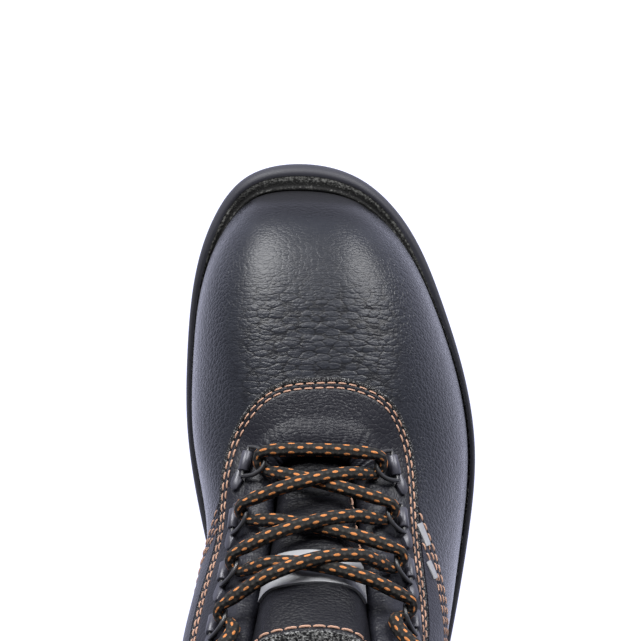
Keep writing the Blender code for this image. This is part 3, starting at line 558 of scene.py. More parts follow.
# Size, stretch and slant of the grain on the sides of the boot.
SIDE_GRAIN = (1.25, (0.9, 0.5, 0.95), math.radians(-42))
vamp = Finish("vamp leather")
lining, bending, siding, shaded_toe_front, steep = (vamp.mark(name) for name in upper_marks)
bend_scales = vamp.scales(2.05, (0.42, 1.0, 0.8))
wrinkle_breaks = vamp.steps(vamp.noise(4.0, 2.0, (0.7, 1.0, 1.0)), 0.3, 0.65)
bend_relief = vamp.ripples(2.1, 6.0) * wrinkle_breaks * 0.22 + bend_scales * 0.62
toe_relief = vamp.scales(0.95, (0.45, 1.0, 1.0)) * (shaded_toe_front * 0.02 + 0.26)
side_relief = vamp.scales(*SIDE_GRAIN) * siding * 0.95
# Painted shade: the leather's colour darkens in the valleys between the wrinkles where the foot bends.
wrinkle_valley_shade = vamp.steps(bend_scales, 0.66, 0.46) * bending * 0.7
leather_tone = vamp.tone(9.0, (0.0110, 0.0119, 0.0157), (0.0166, 0.0179, 0.0231))
# Painted shade: on the steep front of the toe the leather's colour is made near black, because the front
# faces the bright floor.
leather_tone = vamp.blend(shaded_toe_front, leather_tone, (0.0012, 0.0012, 0.0018))
leather_tone = vamp.blend(wrinkle_valley_shade, leather_tone, (0.004, 0.004, 0.005))
lining_tone = vamp.blend(vamp.knit(), (0.02, 0.02, 0.022), (0.055, 0.055, 0.059))
gloss = vamp.noise(4.0) * 0.09 + 0.27 + bending * 0.05 - shaded_toe_front * 0.07 + steep * 0.42 - siding * 0.07
vamp.surface(
    Base_Color=vamp.blend(lining, leather_tone, lining_tone),
    Roughness=lining * 0.45 + gloss,
    Specular_IOR_Level=0.18,
    Normal=vamp.relief(toe_relief + bend_relief * bending + side_relief, 0.24),
)
upper = lofted("upper_leather", upper_points, [vamp], upper_marks, closed=True)
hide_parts("upper")

# Facing
# A horseshoe of smoother leather round the throat, sewn on with two rows of tan thread. Its cut edge is raw,
# and its inner edge is turned over a soft roll of foam beside the tongue.

FACING_END = 8.1
FACING_LIFT = 0.3
FACING_THICKNESS = 1.5
FACING_STATIONS, FACING_ROWS, FACING_ROLL = 460, 30, 8
FACING_EDGE_ROWS, FACING_EDGE_SHARE = 13, 0.24
FACING_ROLL_TURN = math.radians(140)
FACING_ROLL_LIFT, FACING_ROLL_THINS = 1.9, 1.1
FACING_STITCH_ROWS = (2.3, 4.0)
FACING_FOAM = 0.9
PUCKER_HEIGHT = 0.13
# Gathers along the throat: height, radians per millimetre, start.
GATHERS = ((0.6, 2.3, 0.0), (0.5, 0.93, 1.0), (0.5, 3.61, 0.0))
STITCH_DENT, STITCH_DENT_WIDTH = 0.35, 0.55
UNDER_GAP = 0.05
# Distance from the cut edge that the back of a panel is marked with, so that it isn't finished as an edge.
BACK_INSET = 9.0


def cut_edge(distance, lift, thickness):
    """Height of a leather panel's face at a distance from its cut edge, which is slightly rounded."""
    share = np.clip(np.asarray(distance, float), 0, 1)
    return lift + thickness * np.sqrt(1 - (1 - share) ** 2)


def sewn_face(distance, lift, thickness, rows):
    """Height of a sewn panel's face at a distance from its cut edge, drawn in along its rows of stitches."""
    dents = sum(np.exp(-(((np.asarray(distance, float) - row) / STITCH_DENT_WIDTH) ** 2)) for row in rows)
    return cut_edge(distance, lift, thickness) - STITCH_DENT * dents


def with_back(mark, back=0.0):
    """Marks of a panel's face, and one value for its back."""
    return beside(mark, np.full(mark.shape, back))


def facing_roll_lift(turn):
    """Height of the facing over the roll of foam, thinner towards its turned edge."""
    return FACING_ROLL_LIFT - FACING_ROLL_THINS * turn / FACING_ROLL_TURN + puckers * math.cos(turn / 2)


facing_u = np.linspace(loop_place(FACING_END, 1), loop_place(FACING_END, 0), FACING_STATIONS)
facing_band = BAND(facing_u)
facing_low = column(rib_share(facing_u, facing_band))
edge_steps = np.concatenate([
    np.linspace(0, FACING_EDGE_SHARE, FACING_EDGE_ROWS),
    np.linspace(FACING_EDGE_SHARE, 1, FACING_ROWS - FACING_EDGE_ROWS + 1)[1:],
])
facing_t = facing_low + edge_steps * (1 - facing_low)
facing_skin = skin(column(facing_u), facing_t)
facing_normal, _ = skin_frame(column(facing_u), facing_t)
facing_inset = travel(facing_skin, axis=1)
near_roll = eased(0.55, 0.95, edge_steps)
throat_run = column(travel(facing_skin[:, -1]))
puckers = PUCKER_HEIGHT * sum(height * np.sin(throat_run * rate + start) for height, rate, start in GATHERS)
foam = FACING_FOAM * np.sin(math.pi * np.clip((edge_steps - 0.62) / 0.5, 0, 1))
facing_face = sewn_face(facing_inset, FACING_LIFT, FACING_THICKNESS, FACING_STITCH_ROWS)
facing_top = facing_skin + column(facing_face + near_roll * puckers + foam) * facing_normal
facing_under = facing_skin + UNDER_GAP * facing_normal
facing_turns = np.linspace(0, FACING_ROLL_TURN, FACING_ROLL + 1)[1:]
facing_outer = beside(facing_top, roll_rows(facing_u, facing_turns, facing_roll_lift))
facing_inner = beside(facing_under, roll_rows(facing_u, facing_turns, lambda turn: UNDER_GAP))
apron = eased(20, 11, np.abs(facing_skin[..., 0] + 4.5)) * eased(46, 52, facing_skin[..., 1])
apron = apron * eased(3.5, 6, facing_inset)
gathered = np.maximum(0.7 * apron, 0.9 * near_roll)
apron = apron * (1 - eased(0.55, 0.8, edge_steps))
over_roll = ((0, 0), (0, FACING_ROLL))
inset_mark = beside(facing_inset, facing_inset[:, -1:] + np.arange(1, FACING_ROLL + 1))

hide = Finish("facing leather")
raw_edge = hide.steps(hide.mark("inset"), 2.1, 1.7)
fuzz = hide.noise(0.45, 4.0)
wrinkles = hide.ripples(1.2, 5.5) * hide.mark("gathered")
facing_relief = hide.scales(1.2, (0.9, 0.7, 0.8)) * 0.55 + wrinkles * 0.35 + fuzz * raw_edge * 2.4
specks = hide.steps(hide.noise(0.5, 3.0, (0.45, 1.0, 1.0)), 0.58, 0.72) * hide.mark("apron")
facing_tone = hide.tone(7.0, (0.0066, 0.0068, 0.0096), (0.0106, 0.0109, 0.0151))
facing_tone = hide.blend(specks, facing_tone, (0.065, 0.066, 0.069))
edge_tone = hide.blend(hide.steps(fuzz, 0.52, 0.68), (0.004, 0.004, 0.005), (0.16, 0.16, 0.16))
hide.surface(
    Base_Color=hide.blend(raw_edge, facing_tone, edge_tone),
    Roughness=raw_edge * 0.4 + 0.42,
    Specular_IOR_Level=0.18,
    Normal=hide.relief(facing_relief, 0.18),
)
facing = lofted("facing_leather", beside(facing_outer, facing_inner[:, ::-1]), [hide], {
    "inset": with_back(inset_mark, BACK_INSET),
    "apron": with_back(np.pad(apron, over_roll)),
    "gathered": with_back(np.pad(gathered, over_roll, mode="edge")),
})
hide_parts("facing")

# Quarters
# Two side panels of the same leather as the vamp, joined round the heel. Each is lapped over the vamp and
# sewn along its front edge with three rows of tan thread.

SEAM_FOOT, SEAM_TOP, SEAM_BOW = (7.8, 8.5), (5.4, 5.38), (0.0, 1.2)
QUARTER_LIFT, QUARTER_THICKNESS = 0.1, 1.5
QUARTER_STATIONS, QUARTER_ROWS, QUARTER_CROWDING = 330, 56, 0.09
QUARTER_STITCH_ROWS = (1.3, 3.8, 6.3)
QUARTER_ABOVE_RIM, QUARTER_TOP_GAP = 0.5, 0.2


def seam_places(share, side):
    ribs = SEAM_FOOT[side] + (SEAM_TOP[side] - SEAM_FOOT[side]) * share + SEAM_BOW[side] * share * (1 - share)
    return np.array([loop_place(rib, side) for rib in ribs])


def quarter_grid(share):
    """Places on the upper of the quarters' rows, as u and t, from one seam round the heel to the other."""
    start, end = seam_places(share, 0), seam_places(share, 1) + PERIOD
    way = np.linspace(0, 1, QUARTER_STATIONS)
    way = column(way - QUARTER_CROWDING * np.sin(2 * math.pi * way))
    u = start + way * (end - start)
    top = rib_share(u[:, -1], BAND(u[:, -1]) + QUARTER_TOP_GAP)
    rim = sole_height(skin(u[:, 0], 0.0)[:, 1], "rim") + QUARTER_ABOVE_RIM
    foot = share_at_height(u[:, 0], rim)
    return u, column(foot) + share * column(top - foot)


def seam_slant(edge, behind):
    """Sine of the angle at which a seam crosses the quarter's rows."""
    return np.linalg.norm(np.cross(unit(np.gradient(edge, axis=0)), unit(behind - edge)), axis=-1)


quarter_u, quarter_t = quarter_grid(np.linspace(0, 1, QUARTER_ROWS))
quarter_skin = skin(quarter_u, quarter_t)
quarter_normal, _ = skin_frame(quarter_u, quarter_t)
quarter_run = travel(quarter_skin)
from_start = quarter_run * seam_slant(quarter_skin[0], quarter_skin[1])
from_end = (quarter_run[-1:] - quarter_run) * seam_slant(quarter_skin[-1], quarter_skin[-2])
quarter_inset = np.minimum(from_start, from_end)
quarter_face = sewn_face(quarter_inset, QUARTER_LIFT, QUARTER_THICKNESS, QUARTER_STITCH_ROWS)
quarter_top = quarter_skin + column(quarter_face) * quarter_normal
quarter_under = quarter_skin + UNDER_GAP * quarter_normal

side_hide = Finish("quarter leather")
quarter_edge = side_hide.steps(side_hide.mark("inset"), 1.5, 0.7)
quarter_relief = side_hide.scales(*SIDE_GRAIN) * 0.8 + side_hide.noise(0.3, 4.0) * quarter_edge * 2.0
quarter_tone = side_hide.tone(9.0, (0.0106, 0.0108, 0.0155), (0.0160, 0.0163, 0.0228))
side_hide.surface(
    Base_Color=side_hide.blend(quarter_edge, quarter_tone, (0.012, 0.012, 0.013)),
    Roughness=side_hide.noise(4.0) * 0.12 + 0.37,
    Specular_IOR_Level=0.18,
    Normal=side_hide.relief(quarter_relief, 0.24),
)
quarters = lofted("quarter_leather", beside(quarter_top, quarter_under[:, ::-1]), [side_hide],
                  {"inset": with_back(quarter_inset, BACK_INSET)})
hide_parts("quarters")

# Stitching of the facing and the quarters
# Lockstitch in thick tan polyester thread. Each stitch lies on the leather and dives into a needle hole at
# both ends, so rows of short bars show with dark gaps between them: near-black bars of painted shade that
# stand for the shade in the holes.

STITCH_PITCH, STITCH_LENGTH = 3.8, 2.75
THREAD_RADIUS, QUARTER_THREAD_RADIUS = 0.32, 0.31
THREAD_SIDES = 6
# How far the stitches of each row lie behind those of the row before it.
FACING_ROW_SHIFT, QUARTER_ROW_SHIFT = 1.9, 1.2
# Height of the thread above the leather along a stitch, from hole to hole.
STITCH_WAY = np.array([0.0, 0.08, 0.22, 0.5, 0.78, 0.92, 1.0])
STITCH_RISE = np.array([-0.55, 0.02, 0.26, 0.32, 0.26, 0.02, -0.55])
# Painted shade for the needle holes: dark bars fill the way from the end of one stitch to the start of the
# next.
HOLE_RADIUS, HOLE_RISE = 0.40, 0.33
HOLE_WAY = np.array([0.1, 0.37, 0.63, 0.9])


def thread_bars(paths, normals, radius):
    """Points and faces of round bars along many short paths of the same number of points."""
    count, size = paths.shape[:2]
    tangents = unit(np.gradient(paths, axis=1))
    across = unit(np.cross(tangents, normals))
    over = np.cross(across, tangents)
    turns = np.arange(THREAD_SIDES) * 2 * math.pi / THREAD_SIDES
    ring = np.cos(turns)[:, None] * across[:, :, None, :] + np.sin(turns)[:, None] * over[:, :, None, :]
    points = paths[:, :, None, :] + radius * ring
    index = np.arange(count * size * THREAD_SIDES).reshape(count, size, THREAD_SIDES)
    caps = [tuple(end) for end in index[:, 0].tolist()] + [tuple(end[::-1]) for end in index[:, -1].tolist()]
    return points.reshape(-1, 3), quads_between(index) + caps


def stitch_row(line, normals, pitch=STITCH_PITCH, length=STITCH_LENGTH, start=0.0):
    """Paths of the stitches of one row along a line on the leather, and the normals there."""
    run = travel(line)
    firsts = np.arange(start, run[-1] - length, pitch)
    at = firsts[:, None] + STITCH_WAY[None, :] * length
    place = np.stack([np.interp(at, run, line[:, axis]) for axis in range(3)], axis=-1)
    normal = unit(np.stack([np.interp(at, run, normals[:, axis]) for axis in range(3)], axis=-1))
    return place + STITCH_RISE[None, :, None] * normal, normal


def sew(name, rows, finish, radius=THREAD_RADIUS):
    """A piece from the stitches of several rows, and one of near-black bars of painted shade in the holes
    between them.
    """
    paths = np.concatenate([row[0] for row in rows])
    normals = np.concatenate([row[1] for row in rows])
    points, faces = thread_bars(paths, normals, radius)
    piece = new_piece(name, points, faces, [finish])
    gaps, gap_normals = [], []
    for row_paths, row_normals in rows:
        over = row_normals[1:, :1] + np.zeros((1, len(HOLE_WAY), 1))
        gap = row_paths[:-1, -1:] + column(HOLE_WAY) * (row_paths[1:, :1] - row_paths[:-1, -1:])
        gaps.append(gap + HOLE_RISE * over)
        gap_normals.append(over)
    points, faces = thread_bars(np.concatenate(gaps), np.concatenate(gap_normals), HOLE_RADIUS)
    holes = new_piece(name.replace("stitching", "needle_holes"), points, faces, [needle_hole_shade])


tan_thread = Finish("tan thread")
twist = tan_thread.noise(0.25, 3.0)
tan_thread.surface(
    Base_Color=tan_thread.blend(twist, (0.19, 0.095, 0.058), (0.39, 0.24, 0.172)),
    Roughness=0.75,
    Normal=tan_thread.relief(twist, 0.12),
)
# Painted shade: near-black bars that stand for the shade in the needle holes.
needle_hole_shade = Finish("needle hole")
needle_hole_shade.surface(
    Base_Color=needle_hole_shade.tone(0.4, (0.001, 0.001, 0.001), (0.006, 0.006, 0.006)),
    Roughness=0.9,
    Specular_IOR_Level=0.1,
)
facing_rows = []
for row_number, row_inset in enumerate(FACING_STITCH_ROWS):
    row_t = rib_share(facing_u, facing_band - row_inset)
    row_face = sewn_face(row_inset, FACING_LIFT, FACING_THICKNESS, FACING_STITCH_ROWS)
    facing_rows.append(stitch_row(skin_offset(facing_u, row_t, row_face), skin_frame(facing_u, row_t)[0],
                                  start=FACING_ROW_SHIFT * row_number))
sew("facing_stitching", facing_rows, tan_thread)

quarter_rows = []
for distance_in, way in ((from_start, 1), (from_end[::-1], -1)):
    grid, grid_normal = quarter_top[::way], quarter_normal[::way]
    for row_number, row_inset in enumerate(QUARTER_STITCH_ROWS):
        line, line_normal = [], []
        for j in range(QUARTER_ROWS):
            share = np.interp(row_inset, distance_in[:, j], np.arange(QUARTER_STATIONS))
            whole = int(share)
            part = share - whole
            line.append((1 - part) * grid[whole, j] + part * grid[whole + 1, j])
            line_normal.append(grid_normal[whole, j])
        start = QUARTER_ROW_SHIFT * row_number
        quarter_rows.append(stitch_row(np.array(line), np.array(line_normal), start=start))
sew("quarter_stitching", quarter_rows, tan_thread, QUARTER_THREAD_RADIUS)

# Quarter tabs
# Two short strips of grey reflective fabric with a cut edge, sewn flat on the outer quarter behind its seam.
# They are plain, like the patch on the tongue.

# Each tab from its front end to its rear end, as a rib and a share of the way up.
QUARTER_TABS = (((5.655, 0.746), (6.0, 0.690)), ((6.18, 0.700), (6.37, 0.650)))
TAB_HALF, TAB_HEIGHT, TAB_STEPS = 1.5, 0.45, 14
# Section of a tab: across, as a share of its half width, and up, as a share of its height.
TAB_SECTION = ((-1, 0.8), (-0.9, 1), (0, 1), (0.9, 1), (1, 0.8), (1, -0.3), (0, -0.3), (-1, -0.3))

reflective = Finish("grey reflective fabric")
reflective.surface(
    Base_Color=reflective.tone(5.0, (0.18, 0.183, 0.192), (0.23, 0.233, 0.243)),
    Roughness=0.5,
    Metallic=0.15,
    Normal=reflective.relief(reflective.cells(0.22, reflective.place()), 0.03),
)
for tab_number, (tab_front, tab_rear) in enumerate(QUARTER_TABS, 1):
    tab_u = np.array([loop_place(rib, 1) for rib in np.linspace(tab_front[0], tab_rear[0], TAB_STEPS)])
    tab_t = np.linspace(tab_front[1], tab_rear[1], TAB_STEPS)
    tab_middle = skin_offset(tab_u, tab_t, QUARTER_LIFT + QUARTER_THICKNESS)
    tab_normal = skin_frame(tab_u, tab_t)[0]
    tab_across = TAB_HALF * unit(np.cross(tab_normal, np.gradient(tab_middle, axis=0)))
    tab_rows = [tab_middle + x * tab_across + z * TAB_HEIGHT * tab_normal for x, z in TAB_SECTION]
    tab = lofted(f"quarter_tab_{tab_number}", np.stack(tab_rows, axis=1), [reflective])

# Collar
# A band of soft black leather over foam round the ankle, closed over the edge of the shaft into the lining.
# Two sewn lines across it make soft channels.

COLLAR_RIB = 8.14
COLLAR_STATIONS, COLLAR_OUTSIDE, COLLAR_ROLL, COLLAR_INSIDE = 260, 26, 10, 12
COLLAR_CHANNEL = 1.7
COLLAR_OVERLAP, COLLAR_INSIDE_DEPTH = 0.3, 34.0
COLLAR_LIFT, COLLAR_THICKNESS = 0.3, 0.9

collar_u = np.linspace(loop_place(COLLAR_RIB, 0), loop_place(COLLAR_RIB, 1) + PERIOD, COLLAR_STATIONS)
collar_u2 = column(collar_u)
collar_low = column(rib_share(collar_u, BAND(collar_u) - COLLAR_OVERLAP))
collar_deep = column(rib_share(collar_u, COLLAR_INSIDE_DEPTH))
collar_way = np.linspace(0, 1, COLLAR_OUTSIDE)
collar_t = collar_low + collar_way * (1 - collar_low)
collar_inner_t = 1 + np.linspace(0, 1, COLLAR_INSIDE) * (collar_deep - 1)
collar_wall = wall(collar_u2, collar_inner_t)
channels = COLLAR_CHANNEL * np.abs(np.sin(2 * math.pi * np.clip(collar_way * 1.02, 0, 1))) ** 0.55
ends = np.minimum(collar_u - collar_u[0], collar_u[-1] - collar_u)
end_fade = column(0.25 + 0.75 * eased(0, 5, ends))
collar_face = COLLAR_LIFT + end_fade * (COLLAR_THICKNESS * cut_edge(collar_way * 25, 0, 1) + channels)
collar_turns = half_turn(COLLAR_ROLL)
collar_outer = beside(
    skin_offset(collar_u2, collar_t, collar_face),
    roll_rows(collar_u, collar_turns, lambda turn: COLLAR_LIFT + COLLAR_THICKNESS),
    skin_offset(collar_u2, collar_inner_t, -collar_wall - COLLAR_THICKNESS),
)
collar_inner = beside(
    skin_offset(collar_u2, collar_t, UNDER_GAP),
    roll_rows(collar_u, collar_turns, lambda turn: UNDER_GAP),
    skin_offset(collar_u2, collar_inner_t, -collar_wall - UNDER_GAP),
)
lined = np.zeros(collar_outer.shape[:2])
lined[:, COLLAR_OUTSIDE + COLLAR_ROLL :] = 1.0

soft_hide = Finish("collar leather")
collar_knit = soft_hide.knit()
collar_lined = soft_hide.mark("lined")
collar_tone = soft_hide.tone(7.0, (0.0085, 0.0087, 0.0112), (0.0140, 0.0143, 0.0180))
knit_tone = soft_hide.blend(collar_knit, (0.012, 0.012, 0.013), (0.050, 0.050, 0.054))
soft_hide.surface(
    Base_Color=soft_hide.blend(collar_lined, collar_tone, knit_tone),
    Roughness=collar_lined * 0.4 + 0.5,
    Specular_IOR_Level=0.18,
    Normal=soft_hide.relief(collar_knit * collar_lined + soft_hide.scales(1.3, (0.9, 0.9, 0.6)), 0.2),
)
collar = lofted("collar_padding", beside(collar_outer, collar_inner[:, ::-1]), [soft_hide],
                {"lined": beside(lined, lined[:, ::-1])})

# Tongue
# A padded flap of black leather in the throat, sewn to the facing by thin wings so that no dirt gets in.
# Its foam makes a raised middle, and a row of tan thread closes its top end over a grey lining.

TONGUE_FOOT_FORWARD = 8.0
TONGUE_CLEARANCE = 1.6
TONGUE_WINGS = (8.0, 4.0)
TONGUE_THICKNESS, WING_THICKNESS, WING_TAPER = 7.0, 2.6, 0.6
TONGUE_ROWS, TONGUE_COLUMNS = 110, 85
# Steps from the throat's edge to the tongue's middle: share of the way, least distance, share of the rise.
TongueStep = namedtuple("TongueStep", "share least rise")
TONGUE_STEPS = (
    TongueStep(0.18, 4.0, 0.08),
    TongueStep(0.24, 5.2, 0.48),
    TongueStep(0.40, 7.5, 0.82),
    TongueStep(0.70, 0.0, 0.96),
    TongueStep(1.00, 0.0, 1.00),
)
# Rise of the tongue's middle above the throat's edges, at ribs counted from the toe.
TongueRise = namedtuple("TongueRise", "rib rise")
TONGUE_RISES = (
    TongueRise(3.0, -7.6),
    TongueRise(4.0, -2.0),
    TongueRise(5.0, 5.0),
    TongueRise(6.0, 9.0),
    TongueRise(7.0, 14.0),
    TongueRise(7.62, 16.2),
)
TONGUE_TOP = TONGUE_RISES[-1].rib
# Folds across the tongue: place as a rib, depth and width in ribs.
TongueFold = namedtuple("TongueFold", "rib depth width")
TONGUE_FOLDS = (
    TongueFold(4.15, 0.9, 0.07),
    TongueFold(4.6, 0.7, 0.06),
    TongueFold(5.2, 0.9, 0.06),
    TongueFold(5.75, 0.6, 0.05),
    TongueFold(6.28, 0.8, 0.03),
    TongueFold(6.92, 0.5, 0.02),
)


def tongue_knots(rib):
    """Points across the tongue's outer face at a rib, wing to wing, and the way out of the throat."""
    places = np.array([loop_place(rib, 0), loop_place(rib, 1)])
    edges = OPENING(places)
    normals, _ = skin_frame(places, np.ones(2))
    out = normals.sum(axis=0)
    out[0] = 0.0
    out = unit(out)
    middle = edges.mean(axis=0)
    base = -(float(PAD(places[0])) + TONGUE_CLEARANCE)
    rise = np.interp(rib, [row.rib for row in TONGUE_RISES], [row.rise for row in TONGUE_RISES])
    reach = np.array(TONGUE_WINGS) * (1 - WING_TAPER * float(eased(TONGUE_TOP - 1, TONGUE_TOP, rib)))
    sides = []
    for place, edge, normal in zip(places, edges, normals):
        wing_t = rib_share(np.full(2, place), reach)
        depth = wall(np.full(2, place), wing_t) + TONGUE_CLEARANCE
        knots = list(skin_offset(np.full(2, place), wing_t, -depth))
        knots.append(edge + base * normal)
        inwards = middle - edge
        for step in TONGUE_STEPS:
            share = min(1.0, max(step.share, step.least / np.linalg.norm(inwards)))
            knots.append(edge + share * inwards + (base + step.rise * (rise - base)) * out)
        sides.append(knots)
    forward = TONGUE_FOOT_FORWARD * eased(TONGUE_RISES[1].rib, TONGUE_RISES[0].rib, rib)
    return np.array(sides[0] + sides[1][-2::-1]) + np.array([0.0, float(forward), 0.0]), out


def smooth_through(knots, places):
    """Smooth curve through knots, at places counted in knots."""
    places = np.clip(np.asarray(places, float), 0, len(knots) - 1)
    left = np.clip(places.astype(int), 0, len(knots) - 2)
    b = column(places - left)
    here, there = knots[left], knots[left + 1]
    before = np.where(column(left) > 0, knots[np.maximum(left - 1, 0)], 2 * here - there)
    last = np.minimum(left + 2, len(knots) - 1)
    after = np.where(column(left) < len(knots) - 2, knots[last], 2 * there - here)
    bend = (2 * before - 5 * here + 4 * there - after) * b**2 + (3 * here - before - 3 * there + after) * b**3
    return here + 0.5 * ((there - before) * b + bend)


# Share of a rib over which the top end is rounded, how far it drops there, and how the pad swells.
TONGUE_END, TONGUE_END_DROP, TONGUE_SWELL = 0.045, 2.2, 0.7
TONGUE_MIDDLE = len(TONGUE_STEPS) + 2

tongue_ribs = np.linspace(TONGUE_RISES[0].rib, TONGUE_TOP, TONGUE_ROWS)
tongue_places = np.linspace(0, 2 * TONGUE_MIDDLE, TONGUE_COLUMNS)
from_wing = 1 - np.abs(tongue_places - TONGUE_MIDDLE) / TONGUE_MIDDLE
on_pad = eased(0.3, 0.6, from_wing)
tongue_faces, tongue_backs, tongue_outs = [], [], []
for rib in tongue_ribs:
    knots, out = tongue_knots(rib)
    folds = sum(fold.depth * np.exp(-(((rib - fold.rib) / fold.width) ** 2)) for fold in TONGUE_FOLDS)
    end = math.sqrt(1 - (1 - min(1.0, (TONGUE_TOP - rib) / TONGUE_END)) ** 2)
    billows = 1 + 0.5 * np.sin(9.0 * rib) * np.sin(tongue_places * 1.3)
    swell = TONGUE_SWELL * eased(0.35, 0.6, from_wing) * billows
    face = smooth_through(knots, tongue_places)
    face = face + column(swell - (folds + TONGUE_END_DROP * (1 - end)) * on_pad) * out
    thick = WING_THICKNESS + (TONGUE_THICKNESS - WING_THICKNESS) * eased(0.2, 0.75, from_wing)
    tongue_faces.append(face)
    tongue_backs.append(face - column(thick * (0.35 + 0.65 * end)) * out)
    tongue_outs.append(out)
tongue_faces = np.array(tongue_faces)
tongue_backs = np.array(tongue_backs)
tongue_outs = np.array(tongue_outs)
tongue_backed = with_back(np.zeros(tongue_faces.shape[:2]), 1.0)
tongue_backed[-2:, :] = 1.0

flap = Finish("tongue leather")
tongue_fuzz = flap.steps(flap.noise(0.8, 4.0), 0.42, 0.66)
tongue_lined = flap.mark("lined")
tongue_tone = flap.tone(7.0, (0.0032, 0.0033, 0.0046), (0.0055, 0.0056, 0.0076))
felt_tone = flap.blend(tongue_fuzz, (0.008, 0.008, 0.009), (0.24, 0.24, 0.235))
flap.surface(
    Base_Color=flap.blend(tongue_lined, tongue_tone, felt_tone),
    Roughness=tongue_lined * 0.4 + 0.46,
    Specular_IOR_Level=0.16,
    Normal=flap.relief(tongue_fuzz * tongue_lined * 4.0 + flap.scales(1.1, (0.6, 1.0, 1.0)) * 1.2, 0.16),
)
tongue_points = beside(tongue_faces, tongue_backs[:, ::-1])
tongue = lofted("tongue_padding", tongue_points, [flap], {"lined": tongue_backed})
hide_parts("tongue")


def tongue_line(ribs, places):
    """Points on the tongue's face, and their normals, at ribs and at places across it."""
    rows = np.interp(ribs, tongue_ribs, np.arange(TONGUE_ROWS))
    columns = np.interp(places, tongue_places, np.arange(TONGUE_COLUMNS))
    row = np.clip(np.round(rows).astype(int), 1, TONGUE_ROWS - 2)
    col = np.clip(np.round(columns).astype(int), 1, TONGUE_COLUMNS - 2)
    normal = np.cross(tongue_faces[row, col + 1] - tongue_faces[row, col - 1],
                      tongue_faces[row + 1, col] - tongue_faces[row - 1, col])
    normal = unit(normal) * np.sign(np.sum(normal * tongue_outs[row], axis=-1, keepdims=True))
    row = np.clip(rows.astype(int), 0, TONGUE_ROWS - 2)
    col = np.clip(columns.astype(int), 0, TONGUE_COLUMNS - 2)
    a, b = column(rows - row), column(columns - col)
    near = (1 - b) * tongue_faces[row, col] + b * tongue_faces[row, col + 1]
    far = (1 - b) * tongue_faces[row + 1, col] + b * tongue_faces[row + 1, col + 1]
    return (1 - a) * near + a * far, normal


TONGUE_STITCH_RIBS, TONGUE_STITCH_PLACES = (7.5, 7.5), (3.4, 10.6)
TONGUE_STITCH_PITCH, TONGUE_STITCH_LENGTH, TONGUE_THREAD_RADIUS = 4.7, 4.0, 0.4
GUSSET_STITCH_RIBS, GUSSET_STITCH_PLACES = (4.6, 7.2), (9.35, 10.8)
ROW_POINTS = 60
top_line, gusset_line = (
    tongue_line(np.linspace(*ribs, ROW_POINTS), np.linspace(*places, ROW_POINTS))
    for ribs, places in (
        (TONGUE_STITCH_RIBS, TONGUE_STITCH_PLACES),
        (GUSSET_STITCH_RIBS, GUSSET_STITCH_PLACES),
    )
)
top_row = stitch_row(*top_line, pitch=TONGUE_STITCH_PITCH, length=TONGUE_STITCH_LENGTH)
gusset_row = stitch_row(*gusset_line)
sew("tongue_stitching", [top_row, gusset_row], tan_thread, TONGUE_THREAD_RADIUS)

# Tongue label
# A plain patch of the same grey reflective fabric as the quarter tabs.
# It is cut straight and sewn flat across the tongue.

LABEL_RIBS, LABEL_PLACES = (6.36, 6.86), (4.1, 9.9)
LABEL_ROWS, LABEL_COLUMNS = 22, 56
LABEL_OVER, LABEL_UNDER = 1.1, 0.1

label_outer, label_inner = [], []
for rib in np.linspace(*LABEL_RIBS, LABEL_ROWS):
    line, line_normal = tongue_line(np.full(LABEL_COLUMNS, rib), np.linspace(*LABEL_PLACES, LABEL_COLUMNS))
    label_outer.append(line + LABEL_OVER * line_normal)
    label_inner.append(line + LABEL_UNDER * line_normal)
label_points = beside(np.array(label_outer), np.array(label_inner)[:, ::-1])
label = lofted("tongue_label_patch", label_points, [reflective])
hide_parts("tongue_label")

# Lace rings
# Each is a plate of black painted steel, riveted through the facing from behind and rolled round the straight
# side of a D of glossy black wire.

RING_PAIRS = 5
RING_DEPTH = (8.6, 10.6)
RING_FIRST_Y = (42.5, 41.0)
RING_PITCH = (22.0, 20.4)
RING_HEIGHT, RING_AIM = 2.6, 7.6
RING_RIBS = (3.0, 8.5, 111)
# Outline of a plate: towards the collar, towards the throat.
PLATE_OUTLINE = (
    (-3.0, 0.9), (-3.0, -1.3), (1.6, -1.5), (3.4, -2.3), (5.0, -2.9), (6.6, -3.3), (8.2, -3.4), (9.5, -3.05),
    (10.4, -2.3), (10.7, -1.4), (10.2, -0.6), (8.6, 0.05), (6.95, 0.75), (6.3, 0.6), (5.2, -0.5), (4.2, -0.6),
    (3.4, 0.9),
)
# Layers of a plate from behind to the front: inset from the outline, height.
PLATE_LAYERS = ((0.0, -1.4), (0.0, 0.75), (0.12, 1.03), (0.35, 1.2))
BARREL_RADIUS, BARREL_LENGTH, BARREL_AHEAD, BARREL_SIDES = 1.9, 7.2, 0.5, 18
# A barrel's ends: distance in from the end, how much thinner it is there.
BARREL_ENDS = ((0.0, 0.35), (0.05, 0.2), (0.3, 0.0))
WIRE_RADIUS, WIRE_SIDES = 0.8, 10
D_HALF, D_REACH, D_TILT = 5.4, 8.2, math.radians(15)


def on_facing(u, depth, height):
    u = np.atleast_1d(u)
    return skin_offset(u, rib_share(u, depth), height)


def ring_frames(side):
    """Place of each ring on one side, and its directions: along the facing, to the throat, outwards."""
    depth = RING_DEPTH[side]
    u = np.array([loop_place(rib, side) for rib in np.linspace(*RING_RIBS)])
    line = on_facing(u, depth, RING_HEIGHT)
    run = travel(line)
    first = np.interp(-RING_FIRST_Y[side], -line[:, 1], run)
    frames = []
    for pair in range(RING_PAIRS):
        share = np.interp(first + pair * RING_PITCH[side], run, np.arange(len(u)))
        at = float(np.interp(share, np.arange(len(u)), u))
        place = on_facing(at, depth, RING_HEIGHT)[0]
        along = unit(on_facing(at + 1.0, depth, RING_HEIGHT)[0] - on_facing(at - 1.0, depth, RING_HEIGHT)[0])
        inwards = place - on_facing(at, depth + RING_AIM, RING_HEIGHT)[0]
        inwards = unit(inwards - np.dot(inwards, along) * along)
        frames.append((place, along, inwards, np.cross(along, inwards)))
    return frames


